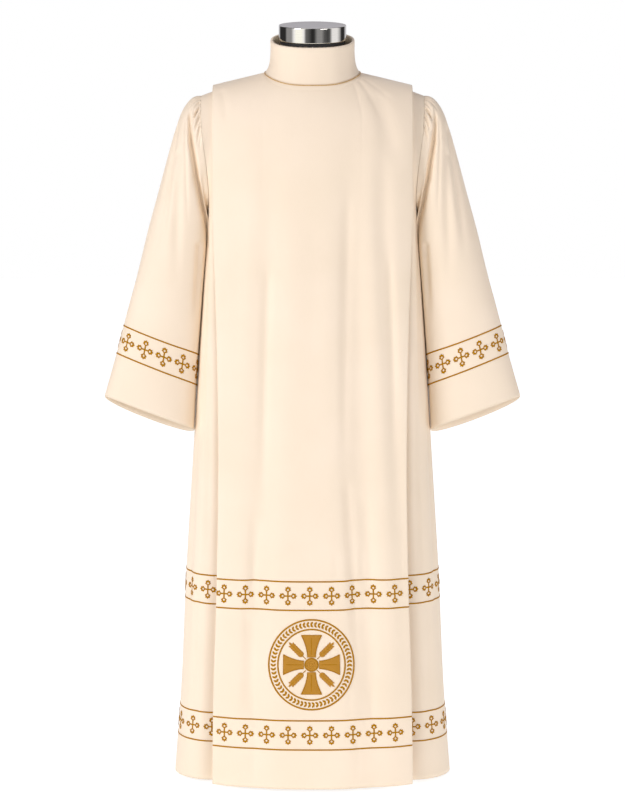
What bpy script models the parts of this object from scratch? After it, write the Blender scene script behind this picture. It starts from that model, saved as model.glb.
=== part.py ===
"""Alb on a limbless dress form: front, back, two sleeves and a stand collar over a smooth torso on a stand.

Metres, +Z up. +X is the viewer's right, the front faces -Y, and the origin is the middle of the
stand's underside. Every wall of cloth is an open surface worked out from the named sizes below,
thickened inwards by a Solidify modifier.
"""
import math

import bmesh
import bpy
import numpy as np

# Cloth and seams
WALL = 0.0012
COLLAR_WALL = 0.0032
SEAM_GAP = 0.0003
# Of the sleeve, along X; the slant of its wall at the armhole takes up a part
SLEEVE_GAP = 0.0005

# Heights up the garment
CHEST_Z = 1.150
COLLAR_TOP_FRONT_Z = 1.4855
COLLAR_TOP_BACK_Z = 1.5010

# Neckline, an oval with full corners seen from above
NECK_HALF_WIDTH = 0.0940
NECK_HALF_DEPTH = 0.0785
NECK_SQUARENESS = 2.3

# Shoulders: the ridge of the pleated panel, and the steeper ridge of the cloth under its folds
PANEL_RIDGE_Z = 1.4270
PANEL_RIDGE_SLOPE = 0.238
UNDER_RIDGE_Z = 1.4255
UNDER_RIDGE_START = 0.100
UNDER_RIDGE_SLOPE = 0.367
SHOULDER_ROUNDNESS = 2.7
# How far the neckline's middle lies above the shoulder's own curve, and how it falls to the sides
FRONT_NECK_RISE = 0.0225
FRONT_RISE_POWER = 1.5
BACK_NECK_RISE = 0.0545
BACK_RISE_POWER = 1.17

# Box pleat that makes the centre panel
PLEAT_DEPTH = 0.050
RETURN_SHARE = 0.50
PANEL_CURVE = 2.2

# Skirt: half-width at the side seam, and half-width of the panel
SIDES = (
    # height, half_width, panel_half_width, pleat_step
    (0.006, 0.2795, 0.2015, 0.030),
    (0.173, 0.2665, 0.1990, 0.029),
    (0.418, 0.2545, 0.1910, 0.026),
    (0.663, 0.2390, 0.1868, 0.022),
    (0.970, 0.2200, 0.1905, 0.016),
    (1.100, 0.2105, 0.1948, 0.013),
    (1.150, 0.2070, 0.1965, 0.012),
)
# Depth of the centre panel from the middle plane, and how far its edges lie behind its middle
FRONT_DEPTH = (
    # height, middle, edge_drop
    (0.006, 0.1500, 0.038),
    (0.173, 0.1390, 0.032),
    (0.418, 0.1290, 0.026),
    (0.900, 0.1250, 0.032),
    (1.150, 0.1220, 0.040),
)
BACK_DEPTH = (
    # height, middle, edge_drop
    (0.006, 0.1480, 0.036),
    (0.173, 0.1380, 0.032),
    (0.418, 0.1290, 0.028),
    (0.900, 0.1200, 0.030),
    (1.150, 0.1140, 0.034),
)
# Soft troughs that hang down a panel, over shares of their length in which they rise and fade
TROUGH_RISE = 0.25
TROUGH_FADE_END = 1.5
TROUGH_FADE = 0.6
FRONT_TROUGHS = (
    # top_z, top_x, foot_z, foot_x, half_width, depth
    (1.300, -0.080, 0.330, -0.108, 0.028, 0.0050),
    (1.300, 0.073, 0.300, 0.107, 0.036, 0.0075),
    (1.330, 0.128, 0.560, 0.172, 0.018, 0.0045),
)
BACK_TROUGHS = (
    # top_z, top_x, foot_z, foot_x, half_width, depth
    (1.200, -0.096, 0.420, -0.140, 0.026, 0.0070),
    (1.120, -0.012, 0.300, -0.028, 0.034, 0.0075),
    (1.200, 0.085, 0.360, 0.118, 0.030, 0.0080),
)
# Armhole seam of one side, from the underarm up to the shoulder tip
ARMHOLE = (
    # share_up, x, depth, z
    (0.00, 0.2070, 0.0000, 1.1500),
    (0.06, 0.2048, 0.0280, 1.1600),
    (0.15, 0.2040, 0.0480, 1.1880),
    (0.30, 0.2070, 0.0580, 1.2400),
    (0.45, 0.2125, 0.0590, 1.2850),
    (0.60, 0.2170, 0.0530, 1.3200),
    (0.75, 0.2188, 0.0400, 1.3500),
    (0.90, 0.2192, 0.0190, 1.3765),
    (0.985, 0.2191, 0.0042, 1.3817),
    (1.00, 0.2190, 0.0000, 1.3818),
)
# Turn of the side front towards the armhole: one at the skirt, small at the shoulder
SIDE_TURN = ((0.0, 1.0), (0.15, 0.75), (0.30, 0.50), (1.0, 0.30))

# Sleeve: its outer line from shoulder tip to cuff and its inner line from underarm to cuff
SLEEVE = (
    # share_down, outer_x, outer_z, inner_x, inner_z, half_depth
    (0.00, 0.2195, 1.3818, 0.2075, 1.1500, 0.0590),
    (0.03, 0.2380, 1.3760, 0.2090, 1.1410, 0.0600),
    (0.07, 0.2540, 1.3563, 0.2105, 1.1270, 0.0620),
    (0.14, 0.2700, 1.3158, 0.2125, 1.1100, 0.0640),
    (0.21, 0.2820, 1.2754, 0.2145, 1.0930, 0.0640),
    (0.34, 0.3040, 1.1945, 0.2185, 1.0590, 0.0620),
    (0.47, 0.3260, 1.1145, 0.2215, 1.0195, 0.0590),
    (0.60, 0.3460, 1.0336, 0.2235, 0.9680, 0.0560),
    (0.73, 0.3680, 0.9537, 0.2260, 0.8955, 0.0520),
    (0.86, 0.3890, 0.8728, 0.2320, 0.8080, 0.0490),
    (1.00, 0.4150, 0.7815, 0.2380, 0.7135, 0.0460),
)
CUFF_FORWARD = 0.010
CUFF_BACK_DROP = 0.024
CUFF_FRONT_RISE = 0.009
# Deep crease beside the armhole, where the front of the sleeve hangs clear of the underarm
CREASE = (
    # share_up, share_down, depth
    (0.86, 0.045, 0.000),
    (0.76, 0.055, 0.010),
    (0.62, 0.065, 0.016),
    (0.46, 0.080, 0.019),
    (0.34, 0.110, 0.019),
    (0.25, 0.150, 0.016),
    (0.17, 0.220, 0.008),
    (0.10, 0.320, 0.000),
)
CREASE_WIDTH = 0.012
SLEEVE_FULLNESS = 0.40
# The sleeve leaves the armhole straight out, and takes its own form over this share of its length
SEAM_BLEND = 0.10
SEAM_REACH = 0.30
# Gathers of the sleeve head: their depth down the sleeve
GATHERS = ((0.0, 0.0010), (0.03, 0.0024), (0.08, 0.0026), (0.16, 0.0014), (0.28, 0.0), (1.0, 0.0))

# Stand collar: how far its outer face lies inside the neckline, from its seam to its rolled top
COLLAR = (
    # share_up, inset_at_sides, inset_at_front_and_back
    (0.00, 0.0000, 0.0000),
    (0.10, 0.0045, 0.0012),
    (0.24, 0.0080, 0.0018),
    (0.50, 0.0104, 0.0016),
    (0.78, 0.0112, 0.0010),
    (0.93, 0.0110, 0.0006),
)
COLLAR_ROLL = 0.0024
ROLL_ANGLES = (0, 50, 90, 130, 180)

# Dress form
CAP_RADIUS = 0.0664
CAP_TOP_Z = 1.522
CAP_HEIGHT = 0.0306
CAP_BEVEL = 0.0016
RING_RADIUS = 0.0640
RING_HEIGHT = 0.0052
FORM_GAP = 0.0004
FORM_SHOULDER_Z = 1.200
FORM_SQUARENESS = 2.3
FORM = (
    # height, half_width, front_depth, back_depth
    (0.800, 0.172, 0.100, 0.104),
    (0.880, 0.178, 0.106, 0.108),
    (0.960, 0.168, 0.100, 0.096),
    (1.040, 0.164, 0.098, 0.092),
    (1.120, 0.176, 0.104, 0.098),
    (1.200, 0.188, 0.104, 0.098),
    (1.260, 0.194, 0.104, 0.098),
    (1.320, 0.199, 0.104, 0.098),
    (1.360, 0.201, 0.104, 0.098),
    (1.430, 0.201, 0.104, 0.098),
)
NECK = (
    # height, half_width, half_depth
    (1.338, 0.068, 0.056),
    (1.398, 0.070, 0.061),
    (1.424, 0.068, 0.062),
    (1.437, 0.064, 0.061),
    (1.452, 0.0615, 0.060),
    (1.4855, 0.061, 0.060),
)
NECK_BLEND = 4.0
POLE_RADIUS = 0.016
BASE_RADIUS = 0.128
BASE_HEIGHT = 0.015
FLANGE_RADIUS = 0.034
FLANGE_HEIGHT = 0.022
STAND_BEVEL = 0.003

# Colours
CLOTH = (0.93, 0.84, 0.70)
FORM_COVER = (0.78, 0.75, 0.70)
RUBBER = (0.02, 0.02, 0.02)
STEEL = (0.62, 0.62, 0.63)

# How finely the cloth is divided
SKIRT_ROWS = (0.006, 0.120, 0.250, 0.400, 0.550, 0.700, 0.850, 0.970, 1.060, 1.150)
SHOULDER_ROWS = (0.06, 0.15, 0.30, 0.45, 0.60, 0.75, 0.90, 0.985, 1.00)
NECK_COLUMNS = (0.0, 0.21, 0.42, 0.606, 0.752, 0.868, 0.945, 1.0)
OUTER_COLUMNS = (0.56, 0.65, 0.74, 0.83, 0.92)
EDGE_ANGLES = (-70, -20, 35, 90)
TURN_ANGLES = (-90, -25, 25, 90)
SIDE_COLUMNS = (0.0, 0.25, 0.5, 0.75, 0.93, 1.0)
SLEEVE_ROWS = (0.0, 0.015, 0.035, 0.06, 0.09, 0.13, 0.17, 0.22, 0.28, 0.36, 0.48, 0.64, 0.82, 1.0)
# Columns of half a sleeve: place on the armhole from underarm to shoulder tip, and crest or trough
SLEEVE_COLUMNS = (
    # share_up, wave
    (0.000, 0), (0.060, 0), (0.150, 0), (0.300, 0), (0.450, 0), (0.560, 0),
    (0.600, 1), (0.635, -1), (0.670, 1), (0.705, -1), (0.740, 1), (0.775, -1), (0.810, 1),
    (0.840, -1), (0.870, 1), (0.895, -1), (0.920, 1), (0.945, -1), (0.970, 1), (1.000, -1),
)
TURNED_SIDES = 48
BEVEL_STEPS = 2
SHARP_ANGLE = math.radians(35)
FORM_COLUMNS = 40
# Power that draws the torso's columns together at its sides
FORM_SPACING = 0.8
FORM_ROWS = (0.800, 0.806, 0.880, 0.960, 1.040, 1.120, 1.200, 1.250, 1.300, 1.340, 1.365,
             1.383, 1.397, 1.409, 1.418, 1.4235, 1.429, 1.437, 1.446, 1.456, 1.470, 1.4855)


def column(table, place):
    """One column of a table by its place, as an array."""
    return np.array([row[place] for row in table], dtype=float)


def smooth(table, place, at):
    """Smooth curve through one column of a table, against its first column."""
    knots = column(table, 0)
    values = column(table, place)
    slopes = np.gradient(values, knots)
    at = np.clip(np.asarray(at, dtype=float), knots[0], knots[-1])
    i = np.clip(np.searchsorted(knots, at, side="right") - 1, 0, len(knots) - 2)
    step = knots[i + 1] - knots[i]
    t = (at - knots[i]) / step
    rise = values[i + 1] - values[i]
    cubic = (step * (slopes[i] + slopes[i + 1]) - 2 * rise) * t ** 3
    square = (3 * rise - step * (2 * slopes[i] + slopes[i + 1])) * t ** 2
    return values[i] + slopes[i] * step * t + square + cubic


def points(x, y, z):
    """Points from three coordinates, any of which may be a single number."""
    return np.stack(np.broadcast_arrays(x, y, z), axis=-1).astype(float)


def skirt_height(row):
    """Height of a row up to the chest line, where the rows over the shoulder start."""
    return min(row, CHEST_Z)


def panel_half(row):
    """Half-width of the centre panel at a row."""
    return float(smooth(SIDES, 2, skirt_height(row)))


def troughs(table, x, z):
    """How far the troughs push a panel inwards at x and z."""
    total = np.zeros_like(x)
    for top_z, top_x, foot_z, foot_x, half_width, depth in table:
        down = (top_z - z) / (top_z - foot_z)
        middle = top_x + (foot_x - top_x) * down
        rise = np.clip(down / TROUGH_RISE, 0, 1)
        fade = np.clip((TROUGH_FADE_END - down) / TROUGH_FADE, 0, 1)
        total = total + depth * rise * fade * np.exp(-((x - middle) / half_width) ** 2)
    return total


def panel_depth(side, x, z):
    """Depth of the smooth centre panel of the front (side -1) or back (side 1) up to the chest line."""
    table = FRONT_DEPTH if side < 0 else BACK_DEPTH
    across = np.abs(x) / panel_half(z)
    return smooth(table, 1, z) - smooth(table, 2, z) * across ** PANEL_CURVE


def neck_round(across):
    """Share of the neckline's depth at a share of its width: an oval with full corners."""
    return np.clip(1 - np.abs(across) ** NECK_SQUARENESS, 0, None) ** (1 / NECK_SQUARENESS)


def over_shoulder(side, x, share_up):
    """Forward and upward shares of the way over the shoulder, cut short by the neckline."""
    oval = neck_round(x / (NECK_HALF_WIDTH + SEAM_GAP))
    reach = (NECK_HALF_DEPTH + SEAM_GAP) * oval / panel_depth(side, x, CHEST_Z)
    angle = share_up * np.arccos(np.clip(reach, 0, 1) ** (SHOULDER_ROUNDNESS / 2))
    power = 2 / SHOULDER_ROUNDNESS
    return np.clip(np.cos(angle), 0, 1) ** power, np.clip(np.sin(angle), 0, 1) ** power


def layer_points(side, x, row, step, ridge):
    """A layer of the body that lies a step behind the panel and rises to its own ridge."""
    height = skirt_height(row)
    folds = FRONT_TROUGHS if side < 0 else BACK_TROUGHS
    fade = (1 - (row - height)) ** 2
    depth = panel_depth(side, x, height) - step - troughs(folds, x, height) * fade
    if row <= CHEST_Z:
        return points(x, side * depth, row)
    forward, upward = over_shoulder(side, x, row - CHEST_Z)
    return points(x, side * depth * forward, CHEST_Z + (ridge - CHEST_Z) * upward)


def panel_points(side, x, row):
    """Outer face of the centre panel, and of the folds' top layer."""
    rise = FRONT_NECK_RISE if side < 0 else BACK_NECK_RISE
    power = FRONT_RISE_POWER if side < 0 else BACK_RISE_POWER
    inside = np.clip(1 - (x / NECK_HALF_WIDTH) ** 2, 0, None)
    outside = np.clip(np.abs(x) - NECK_HALF_WIDTH, 0, None)
    ridge = PANEL_RIDGE_Z + rise * inside ** power - PANEL_RIDGE_SLOPE * outside
    return layer_points(side, x, row, 0.0, ridge)


def under_points(side, x, row):
    """Outer face of the cloth that runs on under the pleat to the side."""
    step = float(smooth(SIDES, 3, skirt_height(row)))
    ridge = UNDER_RIDGE_Z - UNDER_RIDGE_SLOPE * (np.abs(x) - UNDER_RIDGE_START)
    return layer_points(side, x, row, step, ridge)


def pleat_points(side, hand, angle, row, inner):
    """Rounded edge of the pleat, or its inner turn, at angles from its upper to its lower layer."""
    half = panel_half(row) - (PLEAT_DEPTH if inner else 0.0)
    x = np.full_like(angle, hand * half)
    top = panel_points(side, x, row)
    low = under_points(side, x, row)
    first, last = (RETURN_SHARE, 1.0) if inner else (0.0, RETURN_SHARE)
    share = first + (last - first) * (1 + np.sin(angle)) / 2
    bulge = np.linalg.norm(low - top, axis=-1) * (last - first) / 2 * (1 - np.cos(angle))
    shift = hand * (bulge if inner else -bulge)
    return top + (low - top) * share[:, None] + points(shift, 0.0, 0.0)


def armhole_points(side, hand, share_up):
    """Armhole seam of a front or back, from the underarm up to the shoulder tip."""
    x, depth, z = (smooth(ARMHOLE, place, share_up) for place in (1, 2, 3))
    return points(hand * x, side * np.clip(depth, 0, None), z)


def side_points(side, hand, across, row):
    """Side panel, from behind the pleat's edge round to the side seam or the armhole."""
    start = under_points(side, np.array([hand * panel_half(row)]), row)
    if row <= CHEST_Z:
        end = points(hand * smooth(SIDES, 1, row), 0.0, row)
        turn = 1.0
    else:
        end = armhole_points(side, hand, row - CHEST_Z)
        turn = float(np.interp(row - CHEST_Z, column(SIDE_TURN, 0), column(SIDE_TURN, 1)))
    quarter = math.pi / 2 * turn
    run = np.sin(across * quarter) / math.sin(quarter)
    fall = (1 - np.cos(across * quarter)) / (1 - math.cos(quarter))
    return start + (end - start) * points(run, fall, across)


def half_line(side, hand, row):
    """Half of a row of the body, from its middle to the side seam or armhole."""
    neck_share = (NECK_HALF_WIDTH + SEAM_GAP) / panel_half(CHEST_Z)
    shares = np.concatenate((np.array(NECK_COLUMNS) * neck_share, OUTER_COLUMNS))
    panel = panel_points(side, hand * shares * panel_half(row), row)
    edge = pleat_points(side, hand, np.radians(EDGE_ANGLES), row, inner=False)
    turn = pleat_points(side, hand, np.radians(TURN_ANGLES), row, inner=True)
    rest = side_points(side, hand, np.array(SIDE_COLUMNS), row)
    return np.concatenate((panel, edge, turn, rest))


def body_line(side, row):
    """A whole row of the front or back, from left to right, moved off the other by half a seam gap."""
    left = half_line(side, -1, row)
    right = half_line(side, 1, row)
    return np.concatenate((left[:0:-1], right)) + np.array((0, side * SEAM_GAP / 2, 0))


def sheet_object(name, lines, closed, flip):
    """Open surface through lines of points, as a mesh object."""
    work = bmesh.new()
    rows = [[work.verts.new(tuple(p)) for p in line] for line in lines]
    for low, high in zip(rows, rows[1:]):
        count = len(low) if closed else len(low) - 1
        for i in range(count):
            j = (i + 1) % len(low)
            corners = [low[i], low[j], high[j], high[i]]
            work.faces.new(corners[::-1] if flip else corners)
    mesh = bpy.data.meshes.new(name)
    work.to_mesh(mesh)
    work.free()
    mesh.shade_smooth()
    return bpy.data.objects.new(name, mesh)


def thicken(piece, thickness):
    """Thickness of a piece of cloth, from its outer face inwards."""
    shell = piece.modifiers.new("cloth", "SOLIDIFY")
    shell.thickness = thickness
    shell.offset = -1.0
    shell.use_even_offset = True
    shell.use_quality_normals = True
    return piece


def make_body(name, side):
    """Front (side -1) or back (side 1): one width of cloth with a box pleat, open at its edges."""
    rows = list(SKIRT_ROWS) + [CHEST_Z + share for share in SHOULDER_ROWS]
    lines = [body_line(side, row) for row in rows]
    return thicken(sheet_object(name, lines, False, side > 0), WALL)


def sleeve_ring(hand, row, columns):
    """One ring of a sleeve before its gathers and crease, at columns of (face, share_up, wave)."""
    outer_x, outer_z, inner_x, inner_z, half_depth = (
        float(smooth(SLEEVE, place, row)) for place in (1, 2, 3, 4, 5))
    tube = []
    seam = []
    for face, share_up, _ in columns:
        chord = math.sin(math.pi / 2 * share_up) ** 2
        depth = half_depth * (4 * chord * (1 - chord)) ** SLEEVE_FULLNESS
        lean = (CUFF_BACK_DROP if face > 0 else -CUFF_FRONT_RISE) * row * depth / half_depth
        x = inner_x + (outer_x - inner_x) * chord
        z = inner_z + (outer_z - inner_z) * chord - lean
        tube.append((hand * x, face * depth - CUFF_FORWARD * row, z))
        seam.append(seam_point(hand, face, share_up))
    blend = min(row / SEAM_BLEND, 1.0)
    blend = blend * blend * (3 - 2 * blend)
    reach = np.array((hand * row * SEAM_REACH, 0, 0))
    return np.array(tube) * blend + (np.array(seam) + reach) * (1 - blend)


def gathered(ring, row, columns):
    """A ring with the waves of the gathered sleeve head."""
    outward = ring - ring.mean(axis=0)
    outward /= np.linalg.norm(outward, axis=1)[:, None]
    depth = float(np.interp(row, column(GATHERS, 0), column(GATHERS, 1)))
    waves = np.array([wave for _, _, wave in columns])
    return ring + outward * waves[:, None] * depth


def creased(ring, path, depths):
    """A ring pressed back where it passes the crease's path."""
    starts = path[:-1]
    runs = path[1:] - starts
    offset = ring[:, None, :] - starts
    along = np.clip((offset * runs).sum(axis=2) / (runs ** 2).sum(axis=1), 0, 1)
    away = np.linalg.norm(offset - along[:, :, None] * runs, axis=2)
    nearest = away.argmin(axis=1)
    place = np.arange(len(ring))
    step = along[place, nearest]
    depth = depths[nearest] * (1 - step) + depths[nearest + 1] * step
    pressed = ring.copy()
    pressed[:, 1] += depth * np.exp(-(away[place, nearest] / CREASE_WIDTH) ** 2)
    return pressed


def seam_point(hand, face, share_up):
    """Armhole seam as the straight edges between the body's rows give it, the sleeve's gap further out."""
    knots = np.array((0.0,) + SHOULDER_ROWS)
    line = armhole_points(face, hand, knots)
    x, y, z = (float(np.interp(share_up, knots, line[:, axis])) for axis in range(3))
    return x + hand * SLEEVE_GAP, y, z


def make_sleeve(name, hand):
    """Sleeve of one side, a tube gathered at its head and open at both ends."""
    columns = [(-1, share_up, wave) for share_up, wave in SLEEVE_COLUMNS]
    columns += [(1, share_up, wave) for share_up, wave in SLEEVE_COLUMNS[-2:0:-1]]
    path = np.array([
        sleeve_ring(hand, row, [(-1, share_up, 0)])[0] for share_up, row, _ in CREASE])
    lines = []
    for row in SLEEVE_ROWS:
        ring = gathered(sleeve_ring(hand, row, columns), row, columns)
        lines.append(creased(ring, path, column(CREASE, 2)))
    return thicken(sheet_object(name, lines, True, hand > 0), WALL)


def neck_height(side, x):
    """Height of the neckline at x."""
    return float(panel_points(side, np.array([x]), CHEST_Z + 1.0)[0, 2])


def collar_section(across, along):
    """Section of the collar's wall at one place round the neck: outer face, roll and inner face."""
    foot = neck_height(along, NECK_HALF_WIDTH * across) + SEAM_GAP
    top = COLLAR_TOP_FRONT_Z + (COLLAR_TOP_BACK_Z - COLLAR_TOP_FRONT_Z) * (1 + along) / 2
    outer = []
    inner = []
    for share, inset_side, inset_front in COLLAR:
        half_width = NECK_HALF_WIDTH - inset_side
        half_depth = NECK_HALF_DEPTH - inset_front
        z = foot + (top - foot) * share
        outer.append((half_width * across, half_depth * along, z))
        half_width -= COLLAR_WALL
        half_depth -= COLLAR_WALL
        inner.append((half_width * across, half_depth * along, z))
    middle = (np.array(outer[-1]) + inner[-1]) / 2
    out = (np.array(outer[-1]) - inner[-1]) / COLLAR_WALL
    roll = []
    for degrees in ROLL_ANGLES:
        angle = math.radians(degrees)
        point = middle + out * COLLAR_ROLL * math.cos(angle)
        point[2] = top + COLLAR_ROLL * (math.sin(angle) - 1)
        roll.append(tuple(point))
    return outer + roll + inner[::-1]


def make_collar(name):
    """Stand collar with a rolled top, its ends meeting at the middle of the back."""
    slit = SEAM_GAP / 2 / NECK_HALF_WIDTH
    half = [(slit, 1)] + [(share, 1) for share in NECK_COLUMNS[1:]]
    half += [(share, -1) for share in NECK_COLUMNS[-2::-1]]
    places = half + [(-share, side) for share, side in half[-2::-1]]
    work = bmesh.new()
    sections = []
    for across, side in places:
        section = collar_section(across, side * float(neck_round(across)))
        sections.append([work.verts.new(point) for point in section])
    count = len(sections[0])
    for left, right in zip(sections, sections[1:]):
        for i in range(count):
            j = (i + 1) % count
            work.faces.new((left[i], right[i], right[j], left[j]))
    for end in (sections[0], sections[-1]):
        for i in range(count // 2 - 1):
            work.faces.new((end[i], end[i + 1], end[count - 2 - i], end[count - 1 - i]))
        work.faces.new((end[count // 2 - 1], end[count // 2], end[count // 2 + 1]))
    return bmesh_object(name, work)


def bmesh_object(name, work):
    """Mesh object from a finished bmesh, with its faces turned outwards."""
    bmesh.ops.recalc_face_normals(work, faces=work.faces)
    mesh = bpy.data.meshes.new(name)
    work.to_mesh(mesh)
    work.free()
    mesh.shade_smooth()
    return bpy.data.objects.new(name, mesh)


def form_ring(height):
    """Outline of the dress form at a height: torso or shoulders, blended with the neck."""
    half, front, back = (float(smooth(FORM, place, height)) for place in (1, 2, 3))
    neck_half, neck_depth = (float(smooth(NECK, place, height)) for place in (1, 2))
    ridge_top = UNDER_RIDGE_Z - WALL / math.cos(math.atan(UNDER_RIDGE_SLOPE)) - FORM_GAP
    on_ridge = UNDER_RIDGE_START + (ridge_top - height) / UNDER_RIDGE_SLOPE
    if height > ridge_top:
        reach = neck_half
    else:
        reach = min(half, on_ridge)
    ring = []
    for i in range(FORM_COLUMNS):
        angle = 2 * math.pi * i / FORM_COLUMNS
        x = reach * math.copysign(abs(math.cos(angle)) ** FORM_SPACING, math.cos(angle))
        side = math.copysign(1, math.sin(angle))
        ridge = ridge_top - UNDER_RIDGE_SLOPE * max(abs(x) - UNDER_RIDGE_START, 0)
        body = 0.0
        if height <= ridge:
            rise = max(height - FORM_SHOULDER_Z, 0) / (ridge - FORM_SHOULDER_Z)
            round_in = max(1 - (abs(x) / half) ** FORM_SQUARENESS, 0) ** (1 / FORM_SQUARENESS)
            body = (front if side < 0 else back) * math.sqrt(max(1 - rise ** 2, 0)) * round_in
        neck = 0.0
        if height > NECK[0][0]:
            neck = neck_depth * math.sqrt(max(1 - (x / neck_half) ** 2, 0))
        depth = (body ** NECK_BLEND + neck ** NECK_BLEND) ** (1 / NECK_BLEND)
        ring.append((x, side * depth if 2 * i % FORM_COLUMNS else 0.0, height))
    return ring


def make_torso(name):
    """Smooth limbless torso with its neck, which the cloth rests on at the ridge of the shoulders."""
    work = bmesh.new()
    rings = [[work.verts.new(p) for p in form_ring(height)] for height in FORM_ROWS]
    for low, high in zip(rings, rings[1:]):
        for i in range(FORM_COLUMNS):
            j = (i + 1) % FORM_COLUMNS
            work.faces.new((low[i], low[j], high[j], high[i]))
    work.faces.new(rings[0][::-1])
    work.faces.new(rings[-1])
    return bmesh_object(name, work)


def make_turned(name, radius, foot_z, height, bevel):
    """Plain turned piece of the stand: an upright cylinder, with a small bevel where it has one."""
    bpy.ops.mesh.primitive_cylinder_add(
        vertices=TURNED_SIDES, radius=radius, depth=height, location=(0, 0, foot_z + height / 2))
    piece = bpy.context.object
    piece.name = name
    piece.data.name = name
    if bevel:
        edge = piece.modifiers.new("edge", "BEVEL")
        edge.width = bevel
        edge.segments = BEVEL_STEPS
        edge.limit_method = "ANGLE"
    piece.data.shade_smooth()
    piece.data.set_sharp_from_angle(angle=SHARP_ANGLE)
    return piece


def make_stand():
    """Neck ring and cap above the torso; pole, flange and base below it."""
    cap_foot = CAP_TOP_Z - CAP_HEIGHT
    ring_foot = cap_foot - SEAM_GAP - RING_HEIGHT
    flange_foot = BASE_HEIGHT + SEAM_GAP
    pole_foot = flange_foot + FLANGE_HEIGHT + SEAM_GAP
    pole_height = FORM_ROWS[0] - SEAM_GAP - pole_foot
    turned = (
        # name, radius, foot_z, height, bevel, colour, roughness, metallic
        ("neck_ring", RING_RADIUS, ring_foot, RING_HEIGHT, 0, RUBBER, 0.5, 0.0),
        ("neck_cap", CAP_RADIUS, cap_foot, CAP_HEIGHT, CAP_BEVEL, STEEL, 0.2, 1.0),
        ("stand_pole", POLE_RADIUS, pole_foot, pole_height, 0, STEEL, 0.3, 1.0),
        ("stand_flange", FLANGE_RADIUS, flange_foot, FLANGE_HEIGHT, STAND_BEVEL, STEEL, 0.3, 1.0),
        ("stand_base", BASE_RADIUS, 0.0, BASE_HEIGHT, STAND_BEVEL, STEEL, 0.4, 1.0),
    )
    return [(make_turned(*row[:5]), *row[5:]) for row in turned]


def material(name, colour, roughness, metallic):
    """Principled material of one piece."""
    made = bpy.data.materials.new(name)
    made.use_nodes = True
    shader = made.node_tree.nodes["Principled BSDF"]
    shader.inputs["Base Color"].default_value = (*colour, 1.0)
    shader.inputs["Roughness"].default_value = roughness
    shader.inputs["Metallic"].default_value = metallic
    return made


def main():
    """The whole garment on its form, in one collection."""
    for old in list(bpy.data.objects):
        bpy.data.objects.remove(old)
    home = bpy.data.collections.new("alb_on_dress_form")
    bpy.context.scene.collection.children.link(home)
    cloth_pieces = (
        make_body("front", -1),
        make_body("back", 1),
        make_sleeve("sleeve_left", -1),
        make_sleeve("sleeve_right", 1),
        make_collar("collar"),
    )
    pieces = [(piece, CLOTH, 0.75, 0.0) for piece in cloth_pieces]
    pieces.append((make_torso("form_torso"), FORM_COVER, 0.85, 0.0))
    pieces += make_stand()
    for piece, colour, roughness, metallic in pieces:
        for old_home in list(piece.users_collection):
            old_home.objects.unlink(piece)
        home.objects.link(piece)
        piece.data.materials.append(material(piece.name, colour, roughness, metallic))


main()
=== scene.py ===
"""Looks of the alb on its dress form: folded cloth, gold embroidery, steel cap, floor, lights and camera.

Metres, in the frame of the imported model: +Z up, the front faces -Y, +X is the viewer's right.
The cloth takes its form from the same sizes and functions as the solids, more finely divided,
with soft folds pressed into it. The embroidery is laid on that same surface.
"""
import math
from functools import partial

import bmesh
import bpy
import numpy as np
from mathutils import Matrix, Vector


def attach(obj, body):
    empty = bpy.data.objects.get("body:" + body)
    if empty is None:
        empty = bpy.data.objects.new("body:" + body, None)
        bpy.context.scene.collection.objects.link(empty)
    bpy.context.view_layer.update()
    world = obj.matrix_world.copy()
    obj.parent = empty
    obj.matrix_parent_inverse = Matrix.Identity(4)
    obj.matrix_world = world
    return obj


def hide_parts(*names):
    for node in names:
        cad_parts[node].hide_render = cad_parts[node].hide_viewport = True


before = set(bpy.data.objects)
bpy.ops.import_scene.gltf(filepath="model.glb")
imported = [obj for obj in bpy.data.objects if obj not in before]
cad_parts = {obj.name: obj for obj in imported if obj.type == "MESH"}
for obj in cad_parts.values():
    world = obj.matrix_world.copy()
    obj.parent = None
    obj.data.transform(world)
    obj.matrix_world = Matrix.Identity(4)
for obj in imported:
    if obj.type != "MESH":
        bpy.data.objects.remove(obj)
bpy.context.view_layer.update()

# Form of the cloth, as in the solids, but finer in the panel's curve, troughs, crease and roll
WALL = 0.0012
COLLAR_WALL = 0.0032
SEAM_GAP = 0.0003
SLEEVE_GAP = 0.0005
CHEST_Z = 1.150
COLLAR_TOP_FRONT_Z = 1.4855
COLLAR_TOP_BACK_Z = 1.5010
NECK_HALF_WIDTH = 0.0940
NECK_HALF_DEPTH = 0.0785
NECK_SQUARENESS = 2.3
PANEL_RIDGE_Z = 1.4270
PANEL_RIDGE_SLOPE = 0.238
UNDER_RIDGE_Z = 1.4255
UNDER_RIDGE_START = 0.100
UNDER_RIDGE_SLOPE = 0.367
SHOULDER_ROUNDNESS = 2.7
FRONT_NECK_RISE = 0.0225
FRONT_RISE_POWER = 1.5
BACK_NECK_RISE = 0.0545
BACK_RISE_POWER = 1.17
PLEAT_DEPTH = 0.050
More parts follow.
